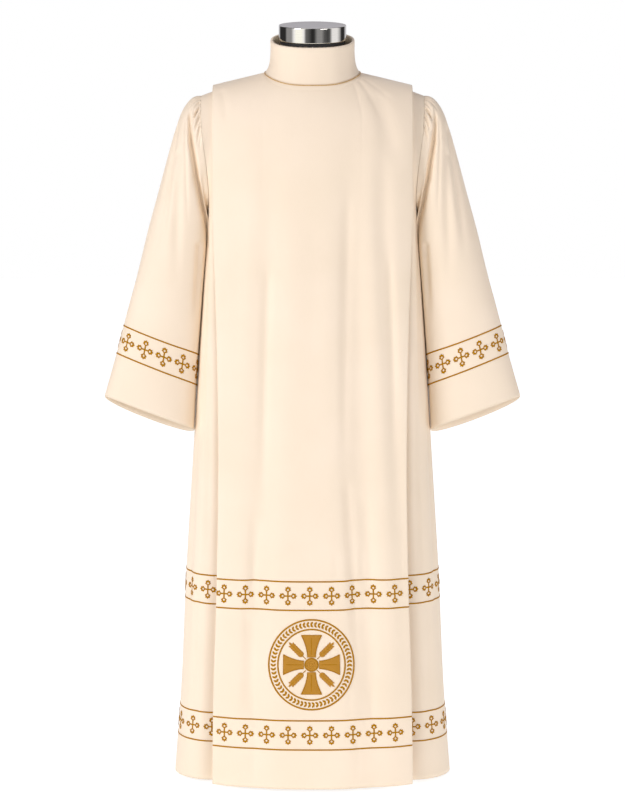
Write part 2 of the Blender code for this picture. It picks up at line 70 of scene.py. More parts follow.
# The pressed edge's lower layer lies this far under its top layer
RETURN_DEPTH = 0.0036
PANEL_CURVE = 2.5
SIDES = (
    # height, half_width, panel_half_width, pleat_step
    (0.006, 0.2795, 0.2015, 0.030),
    (0.173, 0.2665, 0.1990, 0.029),
    (0.418, 0.2545, 0.1910, 0.026),
    (0.663, 0.2390, 0.1868, 0.022),
    (0.970, 0.2200, 0.1905, 0.016),
    (1.100, 0.2105, 0.1948, 0.013),
    (1.150, 0.2070, 0.1965, 0.012),
)
FRONT_DEPTH = (
    # height, middle, edge_drop
    (0.006, 0.1500, 0.038),
    (0.173, 0.1390, 0.032),
    (0.418, 0.1290, 0.026),
    (0.900, 0.1250, 0.032),
    (1.150, 0.1220, 0.040),
)
BACK_DEPTH = (
    # height, middle, edge_drop
    (0.006, 0.1480, 0.036),
    (0.173, 0.1380, 0.032),
    (0.418, 0.1290, 0.028),
    (0.900, 0.1200, 0.030),
    (1.150, 0.1140, 0.034),
)
TROUGH_RISE = 0.25
TROUGH_FADE_END = 1.5
TROUGH_FADE = 0.6
FRONT_TROUGHS = (
    # top_z, top_x, foot_z, foot_x, half_width, depth
    (1.300, -0.080, 0.330, -0.108, 0.028, 0.0070),
    (1.300, 0.073, 0.300, 0.107, 0.034, 0.0120),
    (1.330, 0.128, 0.560, 0.172, 0.018, 0.0068),
)
BACK_TROUGHS = (
    # top_z, top_x, foot_z, foot_x, half_width, depth
    (1.200, -0.096, 0.420, -0.140, 0.026, 0.0070),
    (1.120, -0.012, 0.300, -0.028, 0.034, 0.0075),
    (1.200, 0.085, 0.360, 0.118, 0.030, 0.0080),
)
ARMHOLE = (
    # share_up, x, depth, z
    (0.00, 0.2070, 0.0000, 1.1500),
    (0.06, 0.2048, 0.0280, 1.1600),
    (0.15, 0.2040, 0.0480, 1.1880),
    (0.30, 0.2070, 0.0580, 1.2400),
    (0.45, 0.2125, 0.0590, 1.2850),
    (0.60, 0.2170, 0.0530, 1.3200),
    (0.75, 0.2188, 0.0400, 1.3500),
    (0.90, 0.2192, 0.0190, 1.3765),
    (0.985, 0.2191, 0.0042, 1.3817),
    (1.00, 0.2190, 0.0000, 1.3818),
)
SIDE_TURN = ((0.0, 1.0), (0.15, 0.75), (0.30, 0.50), (1.0, 0.30))
SLEEVE = (
    # share_down, outer_x, outer_z, inner_x, inner_z, half_depth
    (0.00, 0.2195, 1.3818, 0.2075, 1.1500, 0.0590),
    (0.03, 0.2380, 1.3760, 0.2090, 1.1410, 0.0600),
    (0.07, 0.2540, 1.3563, 0.2105, 1.1270, 0.0620),
    (0.14, 0.2700, 1.3158, 0.2125, 1.1100, 0.0640),
    (0.21, 0.2820, 1.2754, 0.2145, 1.0930, 0.0640),
    (0.34, 0.3040, 1.1945, 0.2185, 1.0590, 0.0620),
    (0.47, 0.3260, 1.1145, 0.2215, 1.0195, 0.0590),
    (0.60, 0.3460, 1.0336, 0.2235, 0.9680, 0.0560),
    (0.73, 0.3680, 0.9537, 0.2260, 0.8955, 0.0520),
    (0.86, 0.3890, 0.8728, 0.2320, 0.8080, 0.0490),
    (1.00, 0.4150, 0.7815, 0.2380, 0.7135, 0.0460),
)
CUFF_FORWARD = 0.010
CUFF_BACK_DROP = 0.024
CUFF_FRONT_RISE = 0.009
# Clearance of the sleeve's inner line from the side seam, where it hangs against the body
SLEEVE_REST = 0.0002
# Valley of a sleeve's main crease, narrower and longer than in the solids
CREASE = (
    # share_up, share_down, depth
    (0.86, 0.045, 0.000),
    (0.76, 0.055, 0.009),
    (0.62, 0.065, 0.014),
    (0.46, 0.080, 0.016),
    (0.34, 0.110, 0.016),
    (0.25, 0.150, 0.014),
    (0.17, 0.220, 0.011),
    (0.10, 0.320, 0.007),
    (0.06, 0.420, 0.000),
)
CREASE_WIDTH = 0.0055
SLEEVE_FULLNESS = 0.40
# The sleeve leans in on the body, most at a share of its width, and less towards the cuff
SLEEVE_HUG = 0.0088
HUG_PLACE = 0.12
HUG_FADE = 0.35
SEAM_BLEND = 0.10
SEAM_REACH = 0.30
SEAM_EASE = 0.25
COLLAR = (
    # share_up, inset_at_sides, inset_at_front_and_back
    (0.00, 0.0000, 0.0000),
    (0.10, 0.0045, 0.0012),
    (0.24, 0.0080, 0.0018),
    (0.50, 0.0104, 0.0016),
    (0.78, 0.0112, 0.0010),
    (0.93, 0.0110, 0.0006),
)
COLLAR_ROLL = 0.0034
# The folded collar thickens by this much towards its soft top, from a share of its height
COLLAR_PAD = 0.0030
COLLAR_PAD_START = 0.55
# Soft dents of the collar's outer face
COLLAR_DENTS = (
    # degrees_from_front, share_up, half_angle, half_share, depth
    (-38, 0.55, 9, 0.50, 0.0007),
    (-12, 0.35, 7, 0.30, 0.0004),
    (17, 0.60, 8, 0.45, 0.0008),
    (46, 0.45, 10, 0.45, 0.0008),
    (82, 0.50, 9, 0.40, 0.0006),
    (-84, 0.60, 10, 0.40, 0.0006),
    (128, 0.50, 11, 0.45, 0.0008),
    (-140, 0.45, 12, 0.40, 0.0008),
)

# Soft folds: paths on the cloth through three places, positive heights standing out
PANEL_FOLDS_FRONT = (
    # top_x, top_z, middle_x, middle_z, foot_x, foot_z, half_width, height
    (0.088, 1.420, 0.112, 1.392, 0.142, 1.335, 0.0070, -0.0012),
    (0.078, 1.418, 0.090, 1.385, 0.102, 1.330, 0.0060, -0.0007),
    (0.098, 1.422, 0.130, 1.402, 0.168, 1.372, 0.0060, -0.0008),
    (0.120, 1.400, 0.150, 1.320, 0.166, 1.240, 0.0220, -0.0036),
    (-0.178, 1.400, -0.172, 1.370, -0.166, 1.330, 0.0100, -0.0016),
    (-0.090, 1.418, -0.112, 1.390, -0.130, 1.350, 0.0080, -0.0007),
    (-0.140, 1.200, -0.150, 1.000, -0.152, 0.760, 0.0240, -0.0012),
    (0.010, 1.150, 0.002, 0.950, -0.010, 0.700, 0.0300, -0.0014),
    (-0.086, 1.060, -0.0935, 0.840, -0.100, 0.540, 0.0120, -0.0036),
    (0.070, 1.220, 0.064, 0.900, 0.064, 0.580, 0.0120, -0.0026),
    (0.150, 1.080, 0.157, 0.900, 0.160, 0.640, 0.0090, -0.0024),
    (0.066, 0.640, 0.079, 0.450, 0.094, 0.200, 0.0130, -0.0034),
    (-0.112, 0.560, -0.118, 0.440, -0.122, 0.330, 0.0150, -0.0030),
    (0.104, 0.600, 0.112, 0.470, 0.116, 0.330, 0.0160, -0.0022),
    (-0.122, 0.360, -0.126, 0.240, -0.130, 0.120, 0.0160, -0.0030),
    (0.108, 0.360, 0.114, 0.240, 0.118, 0.120, 0.0190, -0.0018),
    (-0.113, 0.490, -0.116, 0.450, -0.117, 0.400, 0.0085, -0.0009),
    (0.046, 0.490, 0.047, 0.450, 0.049, 0.400, 0.0090, -0.0008),
    (0.097, 0.490, 0.098, 0.450, 0.099, 0.400, 0.0085, -0.0010),
    (-0.132, 0.400, -0.133, 0.350, -0.134, 0.300, 0.0090, -0.0008),
    (0.036, 0.400, 0.036, 0.355, 0.036, 0.310, 0.0090, -0.0007),
    (0.100, 0.400, 0.101, 0.350, 0.103, 0.300, 0.0090, -0.0009),
    (-0.118, 0.210, -0.119, 0.165, -0.120, 0.120, 0.0090, -0.0008),
    (0.074, 0.205, 0.075, 0.165, 0.076, 0.125, 0.0085, -0.0008),
    (0.118, 0.210, 0.119, 0.165, 0.120, 0.120, 0.0090, -0.0008),
    (-0.116, 0.110, -0.118, 0.065, -0.120, 0.010, 0.0100, -0.0008),
    (0.090, 0.110, 0.091, 0.065, 0.092, 0.010, 0.0100, -0.0008),
)
PANEL_FOLDS_BACK = (
    # top_x, top_z, middle_x, middle_z, foot_x, foot_z, half_width, height
    (-0.085, 1.420, -0.112, 1.385, -0.140, 1.330, 0.0060, -0.0018),
    (0.080, 1.420, 0.100, 1.385, 0.122, 1.335, 0.0060, -0.0014),
    (0.150, 1.380, 0.158, 1.300, 0.160, 1.220, 0.0180, -0.0030),
    (-0.150, 1.300, -0.154, 1.100, -0.156, 0.880, 0.0200, -0.0024),
    (0.020, 1.250, 0.030, 1.050, 0.034, 0.800, 0.0240, -0.0022),
    (-0.100, 0.600, -0.108, 0.440, -0.112, 0.300, 0.0150, -0.0024),
    (0.070, 0.560, 0.076, 0.420, 0.080, 0.300, 0.0150, -0.0022),
    (-0.060, 0.490, -0.061, 0.450, -0.062, 0.410, 0.0085, -0.0009),
    (0.020, 0.490, 0.021, 0.450, 0.022, 0.400, 0.0085, -0.0008),
    (0.140, 0.490, 0.141, 0.450, 0.142, 0.405, 0.0085, -0.0009),
    (-0.130, 0.400, -0.131, 0.350, -0.132, 0.300, 0.0090, -0.0009),
    (0.064, 0.400, 0.065, 0.350, 0.066, 0.305, 0.0090, -0.0008),
    (-0.090, 0.210, -0.091, 0.165, -0.092, 0.120, 0.0090, -0.0008),
    (0.104, 0.210, 0.105, 0.165, 0.106, 0.120, 0.0090, -0.0008),
)
# Folds of the side panels: places as a share of the way across from the pleat, and a height
SIDE_FOLDS = (
    # top_share, top_z, middle_share, middle_z, foot_share, foot_z, half_width, height
    (0.55, 1.130, 0.50, 0.900, 0.46, 0.560, 0.0100, -0.0030),
    (0.30, 0.900, 0.26, 0.620, 0.22, 0.330, 0.0110, -0.0026),
    (0.72, 0.780, 0.68, 0.500, 0.62, 0.200, 0.0130, -0.0034),
    (0.40, 0.420, 0.38, 0.220, 0.36, 0.040, 0.0140, -0.0028),
)
# Folds of a sleeve: places as shares up its front or back and down its length
SLEEVE_FOLDS_FRONT = (
    # top_up, top_down, middle_up, middle_down, foot_up, foot_down, half_width, height
    (0.985, 0.000, 0.98, 0.025, 0.95, 0.055, 0.0026, -0.0018),
    (0.955, 0.000, 0.94, 0.030, 0.90, 0.065, 0.0028, -0.0023),
    (0.920, 0.000, 0.90, 0.030, 0.85, 0.075, 0.0030, -0.0028),
    (0.870, 0.000, 0.82, 0.030, 0.74, 0.062, 0.0032, -0.0026),
    (0.810, 0.000, 0.76, 0.042, 0.68, 0.060, 0.0036, -0.0024),
    (0.740, 0.000, 0.69, 0.020, 0.60, 0.045, 0.0030, -0.0035),
    (0.690, 0.000, 0.65, 0.012, 0.60, 0.025, 0.0024, -0.0018),
    (0.650, 0.000, 0.60, 0.015, 0.50, 0.045, 0.0032, -0.0035),
    (0.580, 0.000, 0.53, 0.015, 0.46, 0.030, 0.0030, -0.0018),
    (0.840, 0.000, 0.80, 0.016, 0.76, 0.028, 0.0022, -0.0016),
    (0.780, 0.000, 0.74, 0.012, 0.70, 0.022, 0.0022, -0.0014),
    (0.830, 0.070, 0.60, 0.140, 0.43, 0.330, 0.0045, -0.0022),
    (0.800, 0.170, 0.60, 0.280, 0.44, 0.620, 0.0120, -0.0044),
    (0.950, 0.120, 0.78, 0.260, 0.64, 0.560, 0.0110, -0.0048),
    (0.300, 0.300, 0.26, 0.480, 0.24, 0.700, 0.0090, -0.0044),
)
SLEEVE_FOLDS_BACK = (
    # top_up, top_down, middle_up, middle_down, foot_up, foot_down, half_width, height
    (0.970, 0.000, 0.95, 0.030, 0.92, 0.060, 0.0028, -0.0020),
    (0.925, 0.000, 0.90, 0.030, 0.86, 0.070, 0.0030, -0.0024),
    (0.880, 0.000, 0.84, 0.030, 0.78, 0.075, 0.0034, -0.0032),
    (0.830, 0.000, 0.78, 0.025, 0.70, 0.060, 0.0032, -0.0026),
    (0.770, 0.000, 0.71, 0.030, 0.60, 0.070, 0.0036, -0.0038),
    (0.710, 0.000, 0.66, 0.018, 0.60, 0.035, 0.0028, -0.0020),
    (0.650, 0.000, 0.58, 0.025, 0.48, 0.060, 0.0036, -0.0030),
    (0.590, 0.000, 0.54, 0.015, 0.48, 0.030, 0.0028, -0.0016),
    (0.700, 0.100, 0.52, 0.200, 0.38, 0.420, 0.0080, -0.0040),
    (0.850, 0.140, 0.66, 0.280, 0.50, 0.600, 0.0120, -0.0036),
    (0.420, 0.260, 0.34, 0.420, 0.30, 0.700, 0.0100, -0.0030),
)
# Narrow valley of a sleeve's main crease, and the soft ridge on each side of it
SHARP_CREASE = (
    # share_up, share_down
    (0.81, 0.000), (0.75, 0.045), (0.68, 0.060), (0.60, 0.065), (0.56, 0.070), (0.48, 0.076),
    (0.41, 0.080), (0.32, 0.100), (0.20, 0.150), (0.12, 0.250), (0.08, 0.340),
)
SHARP_CREASE_FOLDS = (
    # shift_up, half_width, height
    (0.00, 0.0032, -0.0070),
    (0.06, 0.0070, 0.0026),
    (-0.06, 0.0060, 0.0020),
)
# Shares of a fold's length over which it fades in and out
FOLD_FADE_IN = 0.10
FOLD_FADE_OUT = 0.40
# A fold is worked out to this many half-widths, and its rims swell by this much
FOLD_REACH = 3
FOLD_RIM = 0.6

# How finely the cloth is divided
SKIRT_STEP = 0.008
SHOULDER_STEPS = 60
SHOULDER_SPACING = 1.4
NECK_COLUMNS = 30
OUTER_COLUMNS = 34
PANEL_COLUMNS = NECK_COLUMNS + OUTER_COLUMNS - 1
# Share of the panel's half-width at which its rounded edge takes over
PANEL_END_SHARE = 0.955
EDGE_COLUMNS = 9
HIDDEN_COLUMNS = 6
TURN_COLUMNS = 5
LAYER_COLUMNS = EDGE_COLUMNS + 2 * HIDDEN_COLUMNS + TURN_COLUMNS
SIDE_COLUMNS = 24
COLLAR_COLUMNS = 161
COLLAR_SHARES = 15
COLLAR_ROLL_STEPS = 10
LOWER_SLEEVE_COLUMNS = 44
UPPER_SLEEVE_COLUMNS = 64
HEAD_SHARE = 0.10
HEAD_ROWS = 40
ARM_ROWS = 96
FOLD_STEPS = 25
CREASE_STEPS = 60
NECK_STITCH_STEPS = 61
CORD_STEPS = 145
HALVINGS = 30

# Embroidered bands of the skirt: heights of their two gold lines
SKIRT_BANDS = (
    # lower_line, upper_line
    (0.3705, 0.4285),
    (0.0865, 0.1458),
)
# Cloth worked out past a band's lines, its rows, the lines' ends short of the seams, and their steps
BAND_MARGIN = 0.012
BAND_STEP = 0.002
BAND_END = 0.001
LINE_STEP = 0.003
# Crosses of the centre panel on each side of its middle one
CROSSES_ASIDE = 4
CROSS_PITCH = 0.0434
CROSS_OFFSET = -0.0055
CROSS_REACH = 0.0180
# Embroidered band of a sleeve, by shares of its length
SLEEVE_BAND_UP = 0.777
SLEEVE_BAND_DOWN = 0.866
SLEEVE_MARGIN = 0.015
SLEEVE_STEP = 0.003
# Length of a sleeve, and the pitch of its crosses, evened out all round
SLEEVE_METRES = 0.650
SLEEVE_CROSS_PITCH = 0.0405
# Satin stitch: the height of its threads, and its section
THREAD_HEIGHT = 0.0008
STITCH_SECTION = (
    # share_across, share_up
    (-1.0, 0.25), (-0.75, 0.85), (0.0, 1.0), (0.75, 0.85), (1.0, 0.25),
)
LINE_HALF_WIDTH = 0.0015
# Cross: its bars, the ring at each end and the buds round it; each lift is a share of the thread's height
CROSS_BAR = 0.0015
CROSS_ARMS = (
    # degrees, ring_place
    (0, 0.0110), (90, 0.0128), (180, 0.0110), (270, 0.0128),
)
RING_PATH = 0.0035
RING_HALF_WIDTH = 0.0019
RING_LIFT = 1.15
RING_STEPS = 24
RING_SWELL = 0.20
CROSS_BUDS = (
    # degrees, tip
    (-100, 0.0060), (-48, 0.0064), (0, 0.0068), (48, 0.0064), (100, 0.0060),
)
BUD_SHOULDER = 0.62
BUD_HALF_WIDTHS = (0.0017, 0.0015, 0.0003)
# First cross of each side panel from the pleat's edge, left and right, for each band
SIDE_CROSS_STARTS = ((0.0155, 0.0030), (0.0030, 0.0010))
# Medallion between the bands of the front
MEDALLION_PLACE = (-0.0020, 0.2600)
MEDALLION_RADIUS = 0.0855
MEDALLION_TALL = 1.07
MEDALLION_REACH = 0.110
MEDALLION_STEP = 0.003
WREATH_RINGS = (
    # radius, half_width
    (MEDALLION_RADIUS, 0.0017), (MEDALLION_RADIUS * 0.785, 0.0016),
)
WREATH_STEPS = 96
WREATH_LIFT = 1.2
WREATH_MIDDLE = MEDALLION_RADIUS * 0.893
WREATH_LEAVES = 63
# A leaf's half-width along it, and where its tip lies from its foot
LEAF_SWELL = (0.35, 0.85, 1.0, 0.95, 0.65, 0.1)
LEAF_BACK = 0.0048
LEAF_OUT = 0.0052
LEAF_HALF_WIDTH = 0.0022
# Arms of the medallion's cross, across and upright
ARM_START = 0.0150
ARM_ENDS = (0.0560, 0.0600)
ARM_NARROW = 0.0078
ARM_WIDE = 0.0205
ARM_FLARE = 1.8
ARM_STEPS = 9
ARM_LIFT = 1.1
EDGE_LIFT = 1.5
OUTLINE_HALF_WIDTH = 0.0008
MIDLINE_HALF_WIDTH = 0.0007
MIDLINE_LIFT = 1.7
# Wheat ears between the arms
GRAIN_PAIRS = 6
GRAIN_START = 0.0250
GRAIN_PITCH = 0.0052
GRAIN_AHEAD = 0.0074
GRAIN_ASIDE = 0.0062
GRAIN_HALF_WIDTH = 0.0026
GRAIN_LIFT = 1.2
TOP_GRAIN = (0.0555, 0.0640)
TOP_GRAIN_HALF_WIDTH = 0.0023
STALK = (0.0160, 0.0560)
STALK_LIFT = 1.3
# Boss in the middle: filled by three rings, with an outline round it
BOSS_RINGS = (
    # radius, half_width
    (0.0020, 0.0020), (0.0058, 0.0022), (0.0100, 0.0022),
)
BOSS_STEPS = 36
BOSS_LIFT = 1.3
BOSS_RADIUS = 0.0132
BOSS_EDGE_HALF_WIDTH = 0.0011
BOSS_EDGE_STEPS = 45
BOSS_EDGE_LIFT = 1.6
# Gold cord in the collar's seam, and the stitch line under it
CORD_RADIUS = 0.0009
NECK_STITCH_DROP = 0.0095
NECK_STITCH_HALF_WIDTH = 0.0016
NECK_STITCH_DEPTH = -0.0006

# Normals shorter than this count as this long
SHORTEST_NORMAL = 1e-12

# Steel cap, as radii and heights from its underside to its top
CAP_PROFILE = (
    # radius, z
    (0.0, 1.4914), (0.0648, 1.4914), (0.0658, 1.4917), (0.0663, 1.4924), (0.0664, 1.4932),
    (0.0664, 1.4935), (0.0664, 1.5199), (0.0664, 1.5202), (0.0662, 1.5211), (0.0656, 1.5217),
    (0.0648, 1.5219), (0.0640, 1.5217),
    (0.0630, 1.5215), (0.0300, 1.5216), (0.0, 1.5216),
)
CAP_SIDES = 128
# Faces that look up more than this are the cap's top
FLAT_NORMAL = 0.9
SHARP_ANGLE = 50

# Detail of the broad noises and of the fine ones, and the span of a noise from dark to light
BROAD_DETAIL = 2.0
FINE_DETAIL = 3.0
NOISE_SPAN = (0.3, 0.7)
# Cloth: pitch and depth of its weave, the drift of its colour, and its slubs
WEAVE_PITCH = 0.00055
WEAVE_DEPTH = 0.00012
WEAVE_STRENGTH = 0.25
DRIFT_SCALE = 7.0
SLUB_SCALE = (900.0, 60.0, 1.0)
# Shares of drift and slubs in the cloth's colour, and of weave and slubs in its relief
DRIFT_TINT = 0.75
SLUB_TINT = 0.25
WEAVE_RELIEF = 0.5
SLUB_RELIEF = 0.8
CLOTH_FINISH = {
    "Roughness": 0.62, "Specular IOR Level": 0.35, "Sheen Weight": 0.18, "Sheen Roughness": 0.45,
    "Sheen Tint": (1.0, 0.95, 0.86, 1.0),
}
CLOTHS = (
    # name, light, dark
    ("alb_cloth", (0.93, 0.78, 0.602), (0.885, 0.738, 0.553)),
)
# Embroidery thread
THREAD_DEPTH = 0.00015
THREAD_STRENGTH = 0.6
THREAD_SPAN = (0.15, 0.75)
WOBBLE_SCALE = 900.0
WOBBLE_TURN = 1.2
# Shares in its colour of the painted shade, dark in the grooves between threads and light on their crests,
# and of the wobble
GROOVE_SHADE_TINT = 0.55
WOBBLE_TINT = 0.45
THREAD_FINISH = {"Roughness": 0.55, "Specular IOR Level": 0.05}
# Each thread's light and dark colours span painted shade, dark in the grooves and light on the crests, and a
# random wobble
THREADS = (
    # name, light, dark, thread_width
    ("gold_thread", (0.50, 0.232, 0.003), (0.29, 0.118, 0.001), 0.0008),
    ("pale_gold_thread", (0.55, 0.270, 0.040), (0.37, 0.160, 0.014), 0.0007),
)
GRAIN_STRENGTH = 0.3
NOISY_SURFACES = (
    # name, light, dark, noise_scale, stretch, roughness, metallic, depth
    ("polished_steel", (0.86, 0.83, 0.73), (0.80, 0.77, 0.67), 40.0, (1, 1, 30), 0.05, 1.0, 0.000005),
    ("brushed_steel", (0.60, 0.57, 0.53), (0.48, 0.45, 0.42), 60.0, (1, 14, 1), 0.38, 1.0, 0.00004),
    ("jersey", (0.66, 0.62, 0.56), (0.54, 0.50, 0.44), 900.0, (1, 1, 0.4), 0.85, 0.0, 0.0002),
    ("rubber", (0.022, 0.021, 0.020), (0.010, 0.010, 0.010), 300.0, (1, 1, 1), 0.55, 0.0, 0.00005),
    ("gold_cord", (0.78, 0.52, 0.22), (0.48, 0.28, 0.08), 700.0, (1, 1, 1), 0.5, 0.1, 0.0002),
)
# CAD nodes that show with their own meshes, and what they are made of
KEPT_NODES = (
    ("neck_ring", "rubber"), ("stand_pole", "brushed_steel"), ("stand_flange", "brushed_steel"),
    ("stand_base", "brushed_steel"),
)

# Camera, from the photograph's perspective
CAMERA_PLACE = (0.0, -8.0, 2.391)
CAMERA_AIM = (0.0, 0.0, 0.7627)
CAMERA_LENS = 181.9
CAMERA_FAR = 200

# Studio: brightness by degrees round from the front, to the viewer's right
STUDIO_PANELS = (
    # degrees, brightness
    (-178, 0.60), (-158, 0.56), (-142, 0.025), (-106, 0.025), (-98, 0.26), (-77, 0.26), (-66, 0.85),
    (-58, 1.00), (-38, 1.00), (-30, 0.85), (-23, 0.14), (-12, 0.08), (-2, 0.02), (6, 0.03),
    (17, 0.255), (31, 0.255), (41, 0.09), (54, 0.05), (62, 0.10), (72, 0.80), (93, 0.80),
    (106, 0.41), (116, 0.027), (136, 0.027), (152, 0.56), (178, 0.60),
)
STUDIO_STRENGTH = 1.15
STUDIO_BLUE = 1.10
LIGHTS = (
    # name, place, side, watts
    ("key", (-6.6, -4.6, 5.3), 3.0, 345),
    ("fill", (5.8, -7.0, 3.0), 4.0, 205),
)
LIGHT_AIM = (0, 0, 0.8)
LIGHT_COLOUR = (1.0, 0.985, 1.06)
FLOOR_RADIUS = 6.0
FLOOR_BOTTOM = -0.0020
FLOOR_TOP = -0.0005
FLOOR_SIDES = 96
FLOOR_FINISH = {
    "Base Color": (0.5, 0.5, 0.5, 1.0), "Roughness": 0.9,
    "Emission Color": (1.0, 1.0, 1.0, 1.0), "Emission Strength": 0.80,
}


def column(table, place):
    """One column of a table by its place, as an array."""
    return np.array([row[place] for row in table], dtype=float)


def smooth(table, place, at):
    """Smooth curve through one column of a table, against its first column."""
    knots = column(table, 0)
    values = column(table, place)
    slopes = np.gradient(values, knots)
    at = np.clip(np.asarray(at, dtype=float), knots[0], knots[-1])
    i = np.clip(np.searchsorted(knots, at, side="right") - 1, 0, len(knots) - 2)
    step = knots[i + 1] - knots[i]
    t = (at - knots[i]) / step
    rise = values[i + 1] - values[i]
    cubic = (step * (slopes[i] + slopes[i + 1]) - 2 * rise) * t ** 3
    square = (3 * rise - step * (2 * slopes[i] + slopes[i + 1])) * t ** 2
    return values[i] + slopes[i] * step * t + square + cubic


def points(x, y, z):
    """Points from three coordinates, any of which may be a single number."""
    return np.stack(np.broadcast_arrays(x, y, z), axis=-1).astype(float)


def ease(t):
    """Smooth step from 0 to 1."""
    t = np.clip(t, 0, 1)
    return t * t * (3 - 2 * t)


def panel_half(row):
    """Half-width of the centre panel at a row."""
    return smooth(SIDES, 2, np.minimum(row, CHEST_Z))


def troughs(table, x, z):
    """How far the troughs push a panel inwards at x and z."""
    total = 0.0
    for top_z, top_x, foot_z, foot_x, half_width, depth in table:
        down = (top_z - z) / (top_z - foot_z)
        middle = top_x + (foot_x - top_x) * down
        rise = np.clip(down / TROUGH_RISE, 0, 1)
        fade = np.clip((TROUGH_FADE_END - down) / TROUGH_FADE, 0, 1)
        total = total + depth * rise * fade * np.exp(-((x - middle) / half_width) ** 2)
    return total


def panel_depth(side, x, z):
    """Depth of the smooth centre panel of the front (side -1) or back (side 1) up to the chest line."""
    table = FRONT_DEPTH if side < 0 else BACK_DEPTH
    across = np.abs(x) / panel_half(z)
    return smooth(table, 1, z) - smooth(table, 2, z) * across ** PANEL_CURVE


def neck_round(across):
    """Share of the neckline's depth at a share of its width: an oval with full corners."""
    return np.clip(1 - np.abs(across) ** NECK_SQUARENESS, 0, None) ** (1 / NECK_SQUARENESS)


def over_shoulder(side, x, share_up):
    """Forward and upward shares of the way over the shoulder, cut short by the neckline."""
    oval = neck_round(x / (NECK_HALF_WIDTH + SEAM_GAP))
    reach = (NECK_HALF_DEPTH + SEAM_GAP) * oval / panel_depth(side, x, CHEST_Z)
    angle = share_up * np.arccos(np.clip(reach, 0, 1) ** (SHOULDER_ROUNDNESS / 2))
    power = 2 / SHOULDER_ROUNDNESS
    return np.clip(np.cos(angle), 0, 1) ** power, np.clip(np.sin(angle), 0, 1) ** power


def layer_points(side, x, row, step, ridge):
    """A layer of the body that lies a step behind the panel and rises to its own ridge."""
    height = np.minimum(row, CHEST_Z)
    folds = FRONT_TROUGHS if side < 0 else BACK_TROUGHS
    fade = (1 - (row - height)) ** 2
    depth = panel_depth(side, x, height) - step - troughs(folds, x, height) * fade
    forward, upward = over_shoulder(side, x, np.clip(row - CHEST_Z, 0, 1))
    return points(x, side * depth * forward, height + (ridge - CHEST_Z) * upward)


def panel_points(side, x, row):
    """Outer face of the centre panel, and of the folds' top layer."""
    rise = FRONT_NECK_RISE if side < 0 else BACK_NECK_RISE
    power = FRONT_RISE_POWER if side < 0 else BACK_RISE_POWER
    inside = np.clip(1 - (x / NECK_HALF_WIDTH) ** 2, 0, None)
    outside = np.clip(np.abs(x) - NECK_HALF_WIDTH, 0, None)
    ridge = PANEL_RIDGE_Z + rise * inside ** power - PANEL_RIDGE_SLOPE * outside
    return layer_points(side, x, row, 0.0, ridge)


def under_points(side, x, row):
    """Outer face of the cloth that runs on under the pleat to the side."""
    step = pleat_step(row)
    ridge = UNDER_RIDGE_Z - UNDER_RIDGE_SLOPE * (np.abs(x) - UNDER_RIDGE_START)
    return layer_points(side, x, row, step, ridge)


def pleat_step(row):
    """Depth of the cloth under the pleat behind the panel at a row."""
    return smooth(SIDES, 3, np.minimum(row, CHEST_Z))


def pleat_layer(side, x, row, share):
    """Points a share of the way from the panel to the cloth under it."""
    top = panel_points(side, x, row)
    low = under_points(side, x, row)
    return top + (low - top) * share[..., None]


def pleat_points(side, hand, angle, row, inner):
    """Rounded edge of the pleat, or its inner turn, at angles from its upper to its lower layer."""
    middle = RETURN_DEPTH / pleat_step(row)
    first, last = (middle, 1.0) if inner else (0.0, middle)
    reach = pleat_step(row) * (last - first) / 2 * (1 - np.cos(angle))
    out = panel_half(row) - PLEAT_DEPTH + reach if inner else panel_half(row) - reach
    share = first + (last - first) * (1 + np.sin(angle)) / 2
    return pleat_layer(side, hand * out, row, share)


def armhole_points(side, hand, share_up):
    """Armhole seam of a front or back, from the underarm up to the shoulder tip."""
    x, depth, z = (smooth(ARMHOLE, place, share_up) for place in (1, 2, 3))
    return points(hand * x, side * np.clip(depth, 0, None), z)


def side_points(side, hand, across, row):
    """Side panel, from behind the pleat's edge round to the side seam or the armhole."""
    share_up = np.clip(row - CHEST_Z, 0, 1)
    start = under_points(side, hand * panel_half(row), row)
    seam = points(hand * smooth(SIDES, 1, np.minimum(row, CHEST_Z)), 0.0, np.minimum(row, CHEST_Z))
    end = np.where((row <= CHEST_Z)[..., None], seam, armhole_points(side, hand, share_up))
    quarter = math.pi / 2 * np.interp(share_up, column(SIDE_TURN, 0), column(SIDE_TURN, 1))
    run = np.sin(across * quarter) / np.sin(quarter)
    fall = (1 - np.cos(across * quarter)) / (1 - np.cos(quarter))
    return start + (end - start) * points(run, fall, across + 0 * quarter)


def half_turn(count):
    """Angles of half a turn, as one row."""
    return np.linspace(-math.pi / 2, math.pi / 2, count)[None, :]


def half_body(side, hand, rows):
    """Half of the front or back, from its middle to the side seam or armhole, row by row."""
    row = rows[:, None]
    half = panel_half(row)
    step = pleat_step(row)
    neck_share = (NECK_HALF_WIDTH + SEAM_GAP) / panel_half(CHEST_Z)
    neck = np.sin(np.linspace(0, math.pi / 2, NECK_COLUMNS)) * neck_share
    shares = np.concatenate((neck, np.linspace(neck_share, PANEL_END_SHARE, OUTER_COLUMNS)[1:]))
    edge_x = half - RETURN_DEPTH / 2
    turn_x = half - PLEAT_DEPTH + (step - RETURN_DEPTH) / 2
    run = np.linspace(0, 1, HIDDEN_COLUMNS + 2)[None, 1:-1]
    panel = panel_points(side, hand * shares[None, :] * half, row)
    edge = pleat_points(side, hand, half_turn(EDGE_COLUMNS), row, inner=False)
    back_x = hand * (edge_x + (turn_x - edge_x) * run)
    back = pleat_layer(side, back_x, row, RETURN_DEPTH / step + 0 * run)
    turn = pleat_points(side, hand, half_turn(TURN_COLUMNS), row, inner=True)
    under = under_points(side, hand * (turn_x + (half - turn_x) * run), row)
    rest = side_points(side, hand, np.linspace(0, 1, SIDE_COLUMNS)[None, :], row)
    return np.concatenate((panel, edge, back, turn, under, rest), axis=1)


